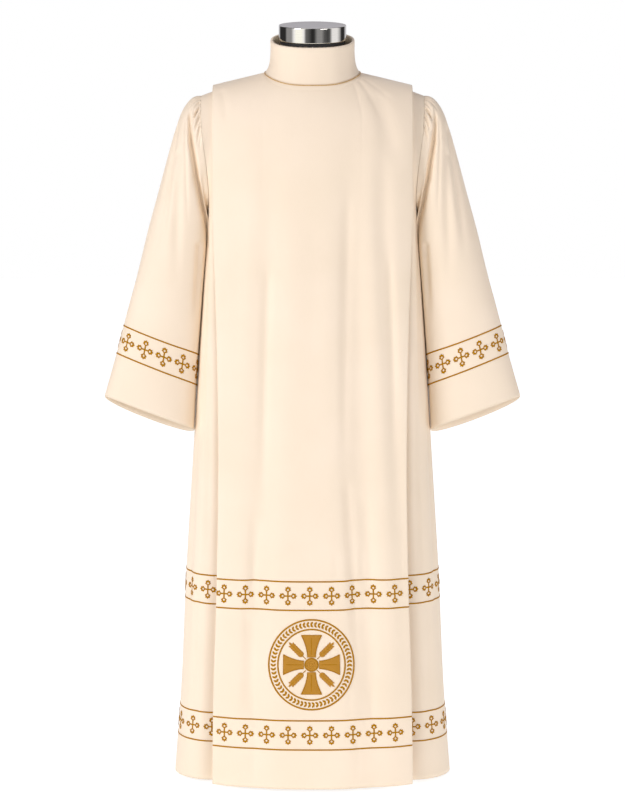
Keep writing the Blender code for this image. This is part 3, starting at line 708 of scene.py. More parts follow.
def carry_folds(grid, shift):
    """Moves the layers behind the panel as the panel moves over them, less towards the side panel."""
    middle = grid.shape[1] // 2
    fade = np.ones(LAYER_COLUMNS)
    fade[-HIDDEN_COLUMNS:] = np.linspace(1, 0, HIDDEN_COLUMNS)
    top = slice(middle - PANEL_COLUMNS + 1, middle + PANEL_COLUMNS)
    for hand in (-1, 1):
        columns = middle + hand * (PANEL_COLUMNS + np.arange(LAYER_COLUMNS))
        for row in range(len(grid)):
            for axis in range(3):
                moved_by = np.interp(grid[row, columns, 0], grid[row, top, 0], shift[row, top, axis])
                shift[row, columns, axis] = moved_by * fade


def whole(left, right):
    """Both halves of a body in one row of columns, from left to right, on axis 1."""
    return np.concatenate((left[:, :0:-1], right), axis=1)


def grid_normals(grid, closed):
    """Unit normals of a grid of points, whichever way it faces."""
    if closed:
        padded = np.concatenate((grid[:, -1:], grid, grid[:, :1]), axis=1)
        across = np.gradient(padded, axis=1)[:, 1:-1]
    else:
        across = np.gradient(grid, axis=1)
    down = np.gradient(grid, axis=0)
    normals = np.cross(across, down)
    return normals / np.maximum(np.linalg.norm(normals, axis=-1, keepdims=True), SHORTEST_NORMAL)


def curve_through(places):
    """Dense path along the curve through three places, each an array of coordinates."""
    first, middle, last = (np.array(place, dtype=float) for place in places)
    t = np.linspace(0, 1, FOLD_STEPS)[:, None]
    return first * (1 - t) * (1 - 2 * t) + middle * 4 * t * (1 - t) + last * t * (2 * t - 1)


def fold_paths(table, surface):
    """Folds of a table as paths in space, on a surface that gives the points of two coordinates."""
    folds = []
    for *places, half_width, height in table:
        path = curve_through((places[0:2], places[2:4], places[4:6]))
        folds.append((surface(path[:, 0], path[:, 1]), half_width, height))
    return folds


def along_path(at, path):
    """Distance of points from a path in space, and how far along it they lie."""
    starts = path[:-1]
    runs = path[1:] - starts
    offset = at[:, None, :] - starts
    share = np.clip((offset * runs).sum(axis=2) / (runs ** 2).sum(axis=1), 0, 1)
    away = np.linalg.norm(offset - share[:, :, None] * runs, axis=2)
    nearest = away.argmin(axis=1)
    place = np.arange(len(at))
    return away[place, nearest], (nearest + share[place, nearest]) / len(runs)


def fold_relief(grid, folds):
    """Relief of soft folds on a grid: each with a path in space, a half-width and a height."""
    flat = grid.reshape(-1, 3)
    total = np.zeros(len(flat))
    for path, half_width, height in folds:
        low = path.min(axis=0) - FOLD_REACH * half_width
        high = path.max(axis=0) + FOLD_REACH * half_width
        near = ((flat > low) & (flat < high)).all(axis=1)
        if not near.any():
            continue
        away, along = along_path(flat[near], path)
        taper = ease(along / FOLD_FADE_IN) * ease((1 - along) / FOLD_FADE_OUT)
        square = (away / half_width) ** 2
        total[near] += height * taper * (1 - FOLD_RIM * square) * np.exp(-square)
    return total.reshape(grid.shape[:-1])


def halved(under, x):
    """Rows over the shoulder up to which a test holds at each x, found by halving."""
    low, high = np.full_like(x, CHEST_Z), np.full_like(x, CHEST_Z + 1)
    for _ in range(HALVINGS):
        middle = (low + high) / 2
        holds = under(middle)
        low, high = np.where(holds, middle, low), np.where(holds, high, middle)
    return low


def panel_place(side, x, z):
    """Points of the centre panel at places across and heights."""
    row = halved(lambda row: panel_points(side, x, row)[..., 2] < z, x)
    return panel_points(side, x, np.where(z <= CHEST_Z, z, row))


def neck_stitch_path(side):
    """Line on the panel that runs round under the neckline at a steady drop."""
    x = NECK_HALF_WIDTH * np.sin(half_turn(NECK_STITCH_STEPS)[0])
    edge = panel_points(side, x, np.full_like(x, CHEST_Z + 1))

    def below(row):
        return np.linalg.norm(panel_points(side, x, row) - edge, axis=1) >= NECK_STITCH_DROP

    return panel_points(side, x, halved(below, x))


def body_relief(side, grid):
    """Relief of the front or back: its panel's folds and neck stitch, and its side panels' folds."""
    middle = grid.shape[1] // 2
    columns = np.abs(np.arange(grid.shape[1]) - middle)
    panel_table = PANEL_FOLDS_FRONT if side < 0 else PANEL_FOLDS_BACK
    relief = fold_relief(grid, fold_paths(panel_table, partial(panel_place, side)))
    away, _ = along_path(grid.reshape(-1, 3), neck_stitch_path(side))
    stitch = np.exp(-(away.reshape(relief.shape) / NECK_STITCH_HALF_WIDTH) ** 2)
    relief = (relief + NECK_STITCH_DEPTH * stitch) * (columns < PANEL_COLUMNS)
    folds = [fold for hand in (-1, 1) for fold in fold_paths(SIDE_FOLDS, partial(side_points, side, hand))]
    return relief + fold_relief(grid, folds) * (columns > middle - SIDE_COLUMNS)


def body_grid(side, rows):
    """Finished outer face of the front or back at the given rows, with its normals."""
    grid = whole(half_body(side, -1, rows), half_body(side, 1, rows))
    grid = grid + np.array((0, side * SEAM_GAP / 2, 0))
    normals = grid_normals(grid, closed=False)
    middle = normals.shape[1] // 2
    normals = normals * np.sign(normals[:1, middle:middle + 1, 1:2] * side)
    shift = normals * body_relief(side, grid)[..., None]
    carry_folds(grid, shift)
    return grid + shift, normals


def body_rows():
    """Rows of the front and back, from the hem to the shoulder."""
    count = round((CHEST_Z - SIDES[0][0]) / SKIRT_STEP)
    skirt = np.linspace(SIDES[0][0], CHEST_Z, count + 1)
    shoulder = CHEST_Z + 1 - np.linspace(1, 0, SHOULDER_STEPS + 1)[1:] ** SHOULDER_SPACING
    return np.concatenate((skirt, shoulder))


def sleeve_columns():
    """Faces and shares up of a sleeve's columns, all round from the underarm."""
    lower = np.linspace(0, 0.5, LOWER_SLEEVE_COLUMNS, endpoint=False)
    upper = np.linspace(0.5, 1.0, UPPER_SLEEVE_COLUMNS)
    up = np.concatenate((lower, upper))
    faces = np.concatenate((np.full(len(up), -1.0), np.full(len(up) - 2, 1.0)))
    return faces, np.concatenate((up, up[-2:0:-1]))


def sleeve_points(hand, face, share_up, row):
    """Sleeve before its crease and folds, at shares up its front or back and down its length."""
    outer_x, outer_z, inner_x, inner_z, half_depth = (smooth(SLEEVE, place, row) for place in range(1, 6))
    chord = np.sin(math.pi / 2 * share_up) ** 2
    depth = half_depth * (4 * chord * (1 - chord)) ** SLEEVE_FULLNESS
    lean = np.where(face > 0, CUFF_BACK_DROP, -CUFF_FRONT_RISE) * row * depth / half_depth
    inner_x = np.minimum(inner_x, smooth(SIDES, 1, inner_z) + SLEEVE_REST)
    hug = SLEEVE_HUG * chord / HUG_PLACE * np.exp(1 - chord / HUG_PLACE) * ease((1 - row) / HUG_FADE)
    x = inner_x + (outer_x - inner_x) * chord - hug
    z = inner_z + (outer_z - inner_z) * chord - lean
    tube = points(hand * x, face * depth - CUFF_FORWARD * row, z)
    seam_x, seam_depth, seam_z = (smooth(ARMHOLE, place, share_up) for place in (1, 2, 3))
    reach = SLEEVE_GAP + row * SEAM_REACH * ease(share_up / SEAM_EASE)
    seam = points(hand * (seam_x + reach), face * np.clip(seam_depth, 0, None), seam_z)
    blend = ease(row / SEAM_BLEND)[..., None]
    return tube * blend + seam * (1 - blend)


def creased(grid, path, depths):
    """A grid pressed back where it passes the crease's path."""
    flat = grid.reshape(-1, 3)
    away, along = along_path(flat, path)
    depth = np.interp(along * (len(path) - 1), np.arange(len(path)), depths)
    pressed = flat.copy()
    pressed[:, 1] += depth * np.exp(-(away / CREASE_WIDTH) ** 2)
    return pressed.reshape(grid.shape)


def sharp_creases(hand):
    """Narrow valley of a sleeve's main crease, with the soft ridge on each side of it, as paths in space."""
    knots = np.arange(len(SHARP_CREASE))
    place = np.linspace(0, knots[-1], CREASE_STEPS)
    up, row = (np.interp(place, knots, column(SHARP_CREASE, n)) for n in (0, 1))
    return [(sleeve_points(hand, -1.0, np.clip(up + shift, 0, 1), row), half_width, height)
            for shift, half_width, height in SHARP_CREASE_FOLDS]


def sleeve_grid(hand, rows):
    """Finished outer face of a sleeve at the given rows, with its normals."""
    faces, up = sleeve_columns()
    grid = sleeve_points(hand, faces[None, :], up[None, :], rows[:, None])
    path = sleeve_points(hand, -1.0, column(CREASE, 0), column(CREASE, 1))
    grid = creased(grid, path, column(CREASE, 2))
    normals = grid_normals(grid, closed=True)
    front = np.argmin(np.abs(up - 0.5) + (faces > 0))
    normals = normals * np.sign(-normals[-1, front, 1])
    folds = sharp_creases(hand)
    for face, table in ((-1.0, SLEEVE_FOLDS_FRONT), (1.0, SLEEVE_FOLDS_BACK)):
        folds += fold_paths(table, partial(sleeve_points, hand, face))
    relief = fold_relief(grid, folds)
    return grid + normals * relief[..., None], normals


def sleeve_rows():
    """Rows of a sleeve, closer together at its gathered head."""
    head = np.linspace(0, HEAD_SHARE, HEAD_ROWS, endpoint=False)
    return np.concatenate((head, np.linspace(HEAD_SHARE, 1.0, ARM_ROWS)))


def lengths_along(grid_line):
    """Running length along a line of points."""
    return np.concatenate(((0.0,), np.cumsum(np.linalg.norm(np.diff(grid_line, axis=0), axis=1))))


def surface_map(mesh, name, places):
    """Map on a mesh from the place of each of its points."""
    made = mesh.uv_layers.new(name=name)
    loops = np.empty(len(mesh.loops), dtype=np.int32)
    mesh.loops.foreach_get("vertex_index", loops)
    made.data.foreach_set("uv", places[loops].ravel().astype(np.float32))


def weave_map(mesh, grid, row, column_at):
    """Map of the weave on a grid's mesh: metres across along one row, and up along one column."""
    across, up = np.meshgrid(lengths_along(grid[row]), lengths_along(grid[:, column_at]))
    surface_map(mesh, "weave", np.stack((across, up), axis=-1).reshape(-1, 2))


def cloth_mesh(name, grid, faces, row, column_at):
    """Smooth mesh on a grid's points, with the map of its weave."""
    mesh = bpy.data.meshes.new(name)
    mesh.from_pydata(grid.reshape(-1, 3).tolist(), [], faces)
    mesh.validate()
    weave_map(mesh, grid, row, column_at)
    mesh.shade_smooth()
    return mesh


def new_piece(name, data):
    """New object of the scene from its mesh, curve, camera or light."""
    piece = bpy.data.objects.new(name, data)
    bpy.context.scene.collection.objects.link(piece)
    return piece


def make_cloth(name, surface, material, closed):
    """Sheet of cloth for a node, from its outer face's grid and normals, thickened inwards."""
    grid, normals = surface
    rows, columns = grid.shape[:2]
    i, j = np.meshgrid(np.arange(rows - 1), np.arange(columns if closed else columns - 1), indexing="ij")
    k = (j + 1) % columns
    corners = (i * columns + j, i * columns + k, (i + 1) * columns + k, (i + 1) * columns + j)
    faces = np.stack(corners, axis=-1).reshape(-1, 4)
    flat = grid.reshape(-1, 3)
    a, b, d = (flat[faces[:, n]] for n in (0, 1, 3))
    facing = (np.cross(b - a, d - a) * normals.reshape(-1, 3)[faces[:, 0]]).sum(axis=1)
    if np.median(facing) < 0:
        faces = faces[:, ::-1]
    mesh = cloth_mesh(name + "_cloth", grid, faces.tolist(), rows // 3, columns // 4)
    piece = new_piece(name + "_cloth", mesh)
    shell = piece.modifiers.new("cloth", "SOLIDIFY")
    shell.thickness = WALL
    shell.offset = -1.0
    finish_piece(piece, material, "cloth", name)


def new_material(name):
    """New node material with its tree and its shader."""
    made = bpy.data.materials.new(name)
    made.use_nodes = True
    return made, made.node_tree, made.node_tree.nodes["Principled BSDF"]


def node(tree, kind, **settings):
    """New shader node with its settings."""
    made = tree.nodes.new(kind)
    for key, value in settings.items():
        setattr(made, key, value)
    return made


def set_values(made, values):
    """Sets a node's inputs by their names."""
    for name, value in values.items():
        made.inputs[name].default_value = value


def math_node(tree, operation, first, second=0.0):
    """Math node on two inputs, each a socket or a number."""
    made = node(tree, "ShaderNodeMath", operation=operation)
    for slot, value in zip(made.inputs, (first, second)):
        if isinstance(value, (int, float)):
            slot.default_value = value
        else:
            tree.links.new(value, slot)
    return made.outputs[0]


def weighted(tree, *terms):
    """Sum of two sockets, each times its weight."""
    first, second = (math_node(tree, "MULTIPLY", socket, weight) for socket, weight in terms)
    return math_node(tree, "ADD", first, second)


def across_and_up(tree, vector):
    """First two parts of a vector."""
    parts = node(tree, "ShaderNodeSeparateXYZ")
    tree.links.new(vector, parts.inputs[0])
    return parts.outputs["X"], parts.outputs["Y"]


def stretched(tree, vector, scale):
    """A vector's places, stretched along each axis."""
    mapping = node(tree, "ShaderNodeMapping")
    set_values(mapping, {"Scale": scale})
    tree.links.new(vector, mapping.inputs["Vector"])
    return mapping.outputs["Vector"]


def noise(tree, vector, scale, detail):
    """Noise over a vector's places."""
    made = node(tree, "ShaderNodeTexNoise")
    set_values(made, {"Scale": scale, "Detail": detail})
    tree.links.new(vector, made.inputs["Vector"])
    return made.outputs[0]


def paint(tree, shader, blend, span, dark, light):
    """Colours a shader from dark to light over the span of a blend."""
    ramp = node(tree, "ShaderNodeValToRGB")
    for stop, place, colour in zip(ramp.color_ramp.elements, span, (dark, light)):
        stop.position = place
        stop.color = (*colour, 1.0)
    tree.links.new(blend, ramp.inputs[0])
    tree.links.new(ramp.outputs[0], shader.inputs["Base Color"])


def emboss(tree, shader, height, strength, distance):
    """Gives a shader fine relief from a height."""
    bump = node(tree, "ShaderNodeBump")
    set_values(bump, {"Strength": strength, "Distance": distance})
    tree.links.new(height, bump.inputs["Height"])
    tree.links.new(bump.outputs[0], shader.inputs["Normal"])


def cloth_material(name, light, dark):
    """Fine plain-weave cloth with a soft low sheen; its colour drifts a little from light to dark."""
    made, tree, shader = new_material(name)
    place = node(tree, "ShaderNodeTexCoord").outputs["Object"]
    uv = node(tree, "ShaderNodeUVMap", uv_map="weave").outputs["UV"]
    turns = 2 * math.pi / WEAVE_PITCH
    warp, weft = (math_node(tree, "SINE", math_node(tree, "MULTIPLY", part, turns))
                  for part in across_and_up(tree, uv))
    weave = math_node(tree, "MULTIPLY", warp, weft)
    drift = noise(tree, place, DRIFT_SCALE, BROAD_DETAIL)
    slub = noise(tree, stretched(tree, uv, SLUB_SCALE), 1.0, FINE_DETAIL)
    tint = weighted(tree, (drift, DRIFT_TINT), (slub, SLUB_TINT))
    paint(tree, shader, tint, NOISE_SPAN, dark, light)
    relief = weighted(tree, (weave, WEAVE_RELIEF), (slub, SLUB_RELIEF))
    emboss(tree, shader, relief, WEAVE_STRENGTH, WEAVE_DEPTH)
    set_values(shader, CLOTH_FINISH)
    return made


def thread_material(name, light, dark, thread_width):
    """Satin stitch: threads side by side across each stroke, with the lustre of rayon; painted shade darkens
    the grooves between the threads and lightens their crests.
    """
    made, tree, shader = new_material(name)
    uv = node(tree, "ShaderNodeUVMap", uv_map="stitch").outputs["UV"]
    wobble = noise(tree, uv, WOBBLE_SCALE, BROAD_DETAIL)
    turns = 2 * math.pi / thread_width
    along = weighted(tree, (across_and_up(tree, uv)[1], turns), (wobble, WOBBLE_TURN))
    # The threads' ridges are their relief and also painted shade in the colour: dark in the grooves, light on
    # the crests
    ridge = math_node(tree, "ABSOLUTE", math_node(tree, "SINE", along))
    tint = weighted(tree, (ridge, GROOVE_SHADE_TINT), (wobble, WOBBLE_TINT))
    paint(tree, shader, tint, THREAD_SPAN, dark, light)
    emboss(tree, shader, ridge, THREAD_STRENGTH, THREAD_DEPTH)
    set_values(shader, THREAD_FINISH)
    return made


def noisy_material(name, light, dark, scale, stretch, roughness, metallic, depth):
    """Surface whose colour and height drift by a stretched noise, for jersey, rubber, steel and cord."""
    made, tree, shader = new_material(name)
    place = node(tree, "ShaderNodeTexCoord").outputs["Object"]
    grain = noise(tree, stretched(tree, place, stretch), scale, FINE_DETAIL)
    paint(tree, shader, grain, NOISE_SPAN, dark, light)
    emboss(tree, shader, grain, GRAIN_STRENGTH, depth)
    set_values(shader, {"Roughness": roughness, "Metallic": metallic})
    return made


def make_materials():
    """All materials by their names."""
    made = {name: cloth_material(name, light, dark) for name, light, dark in CLOTHS}
    made.update({row[0]: thread_material(*row) for row in THREADS})
    made.update({row[0]: noisy_material(*row) for row in NOISY_SURFACES})
    return made


def finish_piece(piece, material, slot, *replaced):
    """A piece of the model: its material, its body and the nodes it stands for; its slot argument is not
    used.
    """
    piece.data.materials.clear()
    piece.data.materials.append(material)
    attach(piece, "root")
    if replaced:
        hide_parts(*replaced)


def between(knots, at):
    """Number of the knot below each place, and the share of the way from it to the next."""
    i = np.clip(np.searchsorted(knots, at) - 1, 0, len(knots) - 2)
    return i, ((at - knots[i]) / (knots[i + 1] - knots[i]))[:, None]


class Patch:
    """A stretch of cloth as places in metres across and up, with its points and normals."""

    def __init__(self, across, up, grid, normals):
        order = np.argsort(up)
        self.across = across
        self.up = up[order]
        self.grid = grid[order]
        self.normals = normals[order]

    def at(self, across, up, height):
        """Points at a height over places on the cloth; what would lie past a seam ends at it."""
        i, s = between(self.across, np.clip(across, self.across[0], self.across[-1]))
        j, t = between(self.up, up)

        def mixed(values):
            low = values[j, i] * (1 - s) + values[j, i + 1] * s
            high = values[j + 1, i] * (1 - s) + values[j + 1, i + 1] * s
            return low * (1 - t) + high * t

        return mixed(self.grid) + mixed(self.normals) * height[:, None]


def stroke(path, half_width, lift=1.0, closed=False):
    """Raised bar of satin stitch along a path: its points as across, up and height, faces and stitch map."""
    path = np.array(path, dtype=float)
    half_width = np.broadcast_to(np.asarray(half_width, dtype=float), (len(path),))
    ahead = np.roll(path, -1, axis=0) - np.roll(path, 1, axis=0) if closed else np.gradient(path, axis=0)
    side = left_of((ahead / np.linalg.norm(ahead, axis=1, keepdims=True)).T).T
    rings, width = len(path), len(STITCH_SECTION)
    verts = np.zeros((rings, width, 3))
    maps = np.zeros((rings, width, 2))
    maps[:, :, 1] = lengths_along(path)[:, None]
    for n, (offset, height) in enumerate(STITCH_SECTION):
        verts[:, n, :2] = path + side * (half_width * offset)[:, None]
        verts[:, n, 2] = THREAD_HEIGHT * lift * height
        maps[:, n, 0] = offset
    steps = [(i * width, (i + 1) % rings * width) for i in range(rings if closed else rings - 1)]
    faces = [(i + n, j + n, j + n + 1, i + n + 1) for i, j in steps for n in range(width - 1)]
    return verts.reshape(-1, 3), faces, maps.reshape(-1, 2)


def merged(parts):
    """Several stitched shapes as one."""
    verts, faces, maps = [], [], []
    total = 0
    for part_verts, part_faces, part_maps in parts:
        verts.append(part_verts)
        maps.append(part_maps)
        faces.extend(tuple(v + total for v in face) for face in part_faces)
        total += len(part_verts)
    return np.concatenate(verts), faces, np.concatenate(maps)


def moved(shape, across, up):
    """A stitched shape moved to a place."""
    verts, faces, maps = shape
    return verts + np.array((across, up, 0.0)), faces, maps


def heading(angle):
    """Unit step at an angle."""
    return np.array((math.cos(angle), math.sin(angle)))


def left_of(step):
    """The same step turned to the left by a right angle."""
    return np.array((-step[1], step[0]))


def ring(centre, radius, count, half_width, lift, first=0.0, stretch=1.0):
    """Closed bar of satin stitch round a circle, from an angle in degrees."""
    angles = np.radians(first + 360 / count * np.arange(count))
    path = np.array(centre) + radius * np.stack((np.cos(angles), np.sin(angles)), axis=1)
    return stroke(path * stretch, half_width, lift, closed=True)


def cross_shape():
    """Cross of thin bars that end in open rings, each ring set round with five pointed buds."""
    parts = []
    swell = (1 - RING_SWELL) + RING_SWELL * np.cos(np.linspace(0, 2 * math.pi, RING_STEPS, endpoint=False))
    for degrees, ring_place in CROSS_ARMS:
        out = heading(math.radians(degrees))
        centre = out * ring_place
        parts.append(stroke([out * 0.0, centre - out * RING_PATH], CROSS_BAR))
        parts.append(ring(centre, RING_PATH, RING_STEPS, RING_HALF_WIDTH * swell, RING_LIFT, first=degrees))
        for bud, tip in CROSS_BUDS:
            away = heading(math.radians(degrees + bud))
            reaches = np.array((RING_PATH, RING_PATH + (tip - RING_PATH) * BUD_SHOULDER, tip))
            parts.append(stroke(centre + away * reaches[:, None], BUD_HALF_WIDTHS))
    return merged(parts)


def leaf(start, end, half_width, lift=1.0):
    """Pointed leaf or grain of satin stitch between two places."""
    shares = np.linspace(0, 1, len(LEAF_SWELL))
    path = np.array(start) + (np.array(end) - np.array(start)) * shares[:, None]
    return stroke(path, half_width * np.array(LEAF_SWELL), lift)


def wreath():
    """Two rings with a wreath of small paired leaves between them, a little taller than wide."""
    tall = np.array((1.0, MEDALLION_TALL))
    parts = [ring((0, 0), radius, WREATH_STEPS, half_width, WREATH_LIFT, stretch=tall)
             for radius, half_width in WREATH_RINGS]
    for n in range(WREATH_LEAVES):
        out = heading(2 * math.pi * n / WREATH_LEAVES)
        vertex = out * WREATH_MIDDLE
        for hand in (-1, 1):
            tip = vertex - left_of(out) * LEAF_BACK + out * hand * LEAF_OUT
            parts.append(leaf(vertex * tall, tip * tall, LEAF_HALF_WIDTH))
    return merged(parts)


def flared_arm(out, last):
    """Arm of the medallion's cross, widening outwards: its filled form, and its edges and middle line."""
    aside = left_of(out)
    shares = np.linspace(0, 1, ARM_STEPS)
    path = out * (ARM_START + (last - ARM_START) * shares[:, None])
    widths = ARM_NARROW + (ARM_WIDE - ARM_NARROW) * shares ** ARM_FLARE
    lines = [path + aside * (hand * widths[:, None]) for hand in (-1, 1)]
    lines.append([path[-1] - aside * widths[-1], path[-1] + aside * widths[-1]])
    outlines = [stroke(line, OUTLINE_HALF_WIDTH, EDGE_LIFT) for line in lines]
    outlines.append(stroke(path[1:-1], MIDLINE_HALF_WIDTH, MIDLINE_LIFT))
    return stroke(path, widths, ARM_LIFT), outlines


def wheat_ear(out):
    """Wheat ear between two arms of the cross: its grains, and its stalk as an outline."""
    across = left_of(out)
    grains = []
    for n in range(GRAIN_PAIRS):
        root = out * (GRAIN_START + GRAIN_PITCH * n)
        for hand in (-1, 1):
            tip = root + out * GRAIN_AHEAD + across * hand * GRAIN_ASIDE
            grains.append(leaf(root, tip, GRAIN_HALF_WIDTH, GRAIN_LIFT))
    first, last = TOP_GRAIN
    grains.append(leaf(out * first, out * last, TOP_GRAIN_HALF_WIDTH, GRAIN_LIFT))
    return grains, stroke([out * place for place in STALK], OUTLINE_HALF_WIDTH, STALK_LIFT)


def medallion_shapes():
    """Filled parts and darker outlines of the medallion's cross, wheat ears and boss."""
    filled, outlines = [], []
    for quarter in range(4):
        turn = quarter * math.pi / 2
        arm, edges = flared_arm(heading(turn), ARM_ENDS[quarter % 2])
        grains, stalk = wheat_ear(heading(turn + math.pi / 4))
        filled += [arm, *grains]
        outlines += [*edges, stalk]
    filled += [ring((0, 0), radius, BOSS_STEPS, half_width, BOSS_LIFT) for radius, half_width in BOSS_RINGS]
    outlines.append(ring((0, 0), BOSS_RADIUS, BOSS_EDGE_STEPS, BOSS_EDGE_HALF_WIDTH, BOSS_EDGE_LIFT))
    return merged(filled), merged(outlines)


def stitched_object(name, patch, shape, material):
    """Embroidery laid on a patch of cloth."""
    verts, faces, maps = shape
    mesh = bpy.data.meshes.new(name)
    mesh.from_pydata(patch.at(*verts.T).tolist(), [], faces)
    surface_map(mesh, "stitch", maps)
    mesh.shade_smooth()
    finish_piece(new_piece(name, mesh), material, "cloth")


def body_patch(side, low, high, step):
    """Stretch of the front or back between two heights, measured in metres from its middle."""
    rows = np.arange(low, high, step)
    grid, normals = body_grid(side, rows)
    line = lengths_along(grid[len(rows) // 2])
    return Patch(line - line[len(line) // 2], rows, grid, normals)


def gold_lines(ends, heights):
    """Straight gold lines over places across, at two heights."""
    return [stroke(np.column_stack((ends, np.full_like(ends, up))), LINE_HALF_WIDTH) for up in heights]


def skirt_band(side, low, high):
    """Cloth under one band of the front or back, and its two gold lines."""
    patch = body_patch(side, low - BAND_MARGIN, high + BAND_MARGIN, BAND_STEP)
    reach = patch.across[-1] - BAND_END
    return patch, gold_lines(np.arange(-reach, reach, LINE_STEP), (low, high))


def hidden_stretch(patch):
    """Where on a patch the side panel comes out from behind the pleat's edge."""
    return patch.across[len(patch.across) // 2 + PANEL_COLUMNS + LAYER_COLUMNS]


def side_crosses(patch, first):
    """Places of a side panel's crosses from the pleat to the side seam, the last one across the seam."""
    places = [hidden_stretch(patch) + first]
    while places[-1] + CROSS_PITCH < patch.across[-1] + CROSS_REACH:
        places.append(places[-1] + CROSS_PITCH)
    return places


def make_skirt_bands(gold):
    """All skirt bands: front and back of each, whose side crosses meet at the side seams."""
    motif = cross_shape()
    for number, (low, high) in enumerate(SKIRT_BANDS):
        middle = (low + high) / 2
        front, front_parts = skirt_band(-1, low, high)
        back, back_parts = skirt_band(1, low, high)
        for n in range(-CROSSES_ASIDE, CROSSES_ASIDE + 1):
            front_parts.append(moved(motif, n * CROSS_PITCH + CROSS_OFFSET, middle))
            back_parts.append(moved(motif, n * CROSS_PITCH, middle))
        for hand, first in zip((-1, 1), SIDE_CROSS_STARTS[number]):
            places = side_crosses(front, first)
            front_parts += [moved(motif, hand * place, middle) for place in places]
            place = back.across[-1] + front.across[-1] - places[-1]
            if place > back.across[-1] + CROSS_REACH:
                place -= CROSS_PITCH
            while place > hidden_stretch(back) - CROSS_REACH:
                back_parts.append(moved(motif, hand * place, middle))
                place -= CROSS_PITCH
        for label, patch, parts in (("front", front, front_parts), ("back", back, back_parts)):
            stitched_object("band_%s_%d" % (label, number + 1), patch, merged(parts), gold)


def make_sleeve_band(name, hand, gold):
    """Band of a sleeve: two gold lines and a row of crosses all round."""
    rows = np.arange(SLEEVE_BAND_UP - SLEEVE_MARGIN, SLEEVE_BAND_DOWN + SLEEVE_MARGIN, SLEEVE_STEP)
    grid, normals = (np.concatenate((made, made[:, :1]), axis=1) for made in sleeve_grid(hand, rows))
    line = lengths_along(grid[len(rows) // 2])
    patch = Patch(line, -rows * SLEEVE_METRES, grid, normals)
    heights = (-SLEEVE_BAND_DOWN * SLEEVE_METRES, -SLEEVE_BAND_UP * SLEEVE_METRES)
    parts = gold_lines(np.linspace(0, line[-1], round(line[-1] / LINE_STEP)), heights)
    count = round(line[-1] / SLEEVE_CROSS_PITCH)
    motif = cross_shape()
    parts += [moved(motif, (n + 0.5) * line[-1] / count, sum(heights) / 2) for n in range(count)]
    stitched_object(name, patch, merged(parts), gold)


def make_medallion(fill, dark):
    """Medallion on the front between the bands: wreath, filled cross with wheat, and outlines."""
    middle = MEDALLION_PLACE[1]
    patch = body_patch(-1, middle - MEDALLION_REACH, middle + MEDALLION_REACH, MEDALLION_STEP)
    filled, outlines = medallion_shapes()
    shapes = (("wreath", wreath(), dark), ("fill", filled, fill), ("outline", outlines, dark))
    for label, shape, material in shapes:
        stitched_object("medallion_" + label, patch, moved(shape, *MEDALLION_PLACE), material)


def neck_oval(angles):
    """Shares of the neck's half-width and half-depth at angles round from the front."""
    across = np.sin(angles)
    return across, np.where(np.cos(angles) > 0, -1.0, 1.0) * neck_round(across)


def neck_height(angles):
    """Height of the neckline at angles round from the front."""
    x = NECK_HALF_WIDTH * np.sin(angles)
    front, back = (panel_points(side, x, np.full_like(x, CHEST_Z + 1))[:, 2] for side in (-1, 1))
    return np.where(np.cos(angles) > 0, front, back)


def collar_dents(angles, share):
    """Depth of the collar's soft dents at angles round from the front, a share of the way up."""
    away = np.degrees(angles)
    return sum(depth * np.exp(-((away - middle) / wide) ** 2 - ((share - up) / tall) ** 2)
               for middle, up, wide, tall, depth in COLLAR_DENTS)


def collar_grid():
    """Closed section of the collar, from its foot over its roll to its foot inside, all round the neck."""
    slit = SEAM_GAP / NECK_HALF_WIDTH
    angles = np.linspace(-math.pi + slit, math.pi - slit, COLLAR_COLUMNS)
    across, along = neck_oval(angles)
    out = points(across, along, 0.0)
    foot = neck_height(angles) + SEAM_GAP
    top = COLLAR_TOP_FRONT_Z + (COLLAR_TOP_BACK_Z - COLLAR_TOP_FRONT_Z) * (1 + along) / 2 - COLLAR_ROLL
    shares = np.linspace(0, 1, COLLAR_SHARES)
    walls = COLLAR_WALL + COLLAR_PAD * ease((shares - COLLAR_PAD_START) / (1 - COLLAR_PAD_START))
    outer = []
    for share in shares:
        width, depth = NECK_HALF_WIDTH - smooth(COLLAR, 1, share), NECK_HALF_DEPTH - smooth(COLLAR, 2, share)
        face = points(width * across, depth * along, foot + (top - foot) * share)
        outer.append(face - out * collar_dents(angles, share)[:, None])
    middle = outer[-1] - out * walls[-1] / 2
    roll = [middle + out * walls[-1] / 2 * math.cos(turn) + points(0.0, 0.0, COLLAR_ROLL * math.sin(turn))
            for turn in np.linspace(0, math.pi, COLLAR_ROLL_STEPS)[1:-1]]
    inner = [face - out * wall for face, wall in zip(outer, walls)]
    return np.array(outer + roll + inner[::-1])


def make_collar(material):
    """Stand collar of doubled cloth with a softly rolled top."""
    grid = collar_grid()
    rings, columns = grid.shape[:2]
    faces = []
    for i in range(rings):
        k = (i + 1) % rings
        faces += [(i * columns + j, i * columns + j + 1, k * columns + j + 1, k * columns + j)
                  for j in range(columns - 1)]
    for end in (0, columns - 1):
        faces += [tuple(n * columns + end for n in (i, i + 1, rings - 2 - i, rings - 1 - i))
                  for i in range(rings // 2)]
    mesh = cloth_mesh("collar_cloth", grid, [face for face in faces if len(set(face)) == 4], 0, columns // 2)
    work = bmesh.new()
    work.from_mesh(mesh)
    bmesh.ops.recalc_face_normals(work, faces=work.faces)
    work.to_mesh(mesh)
    work.free()
    finish_piece(new_piece("collar_cloth", mesh), material, "cloth", "collar")


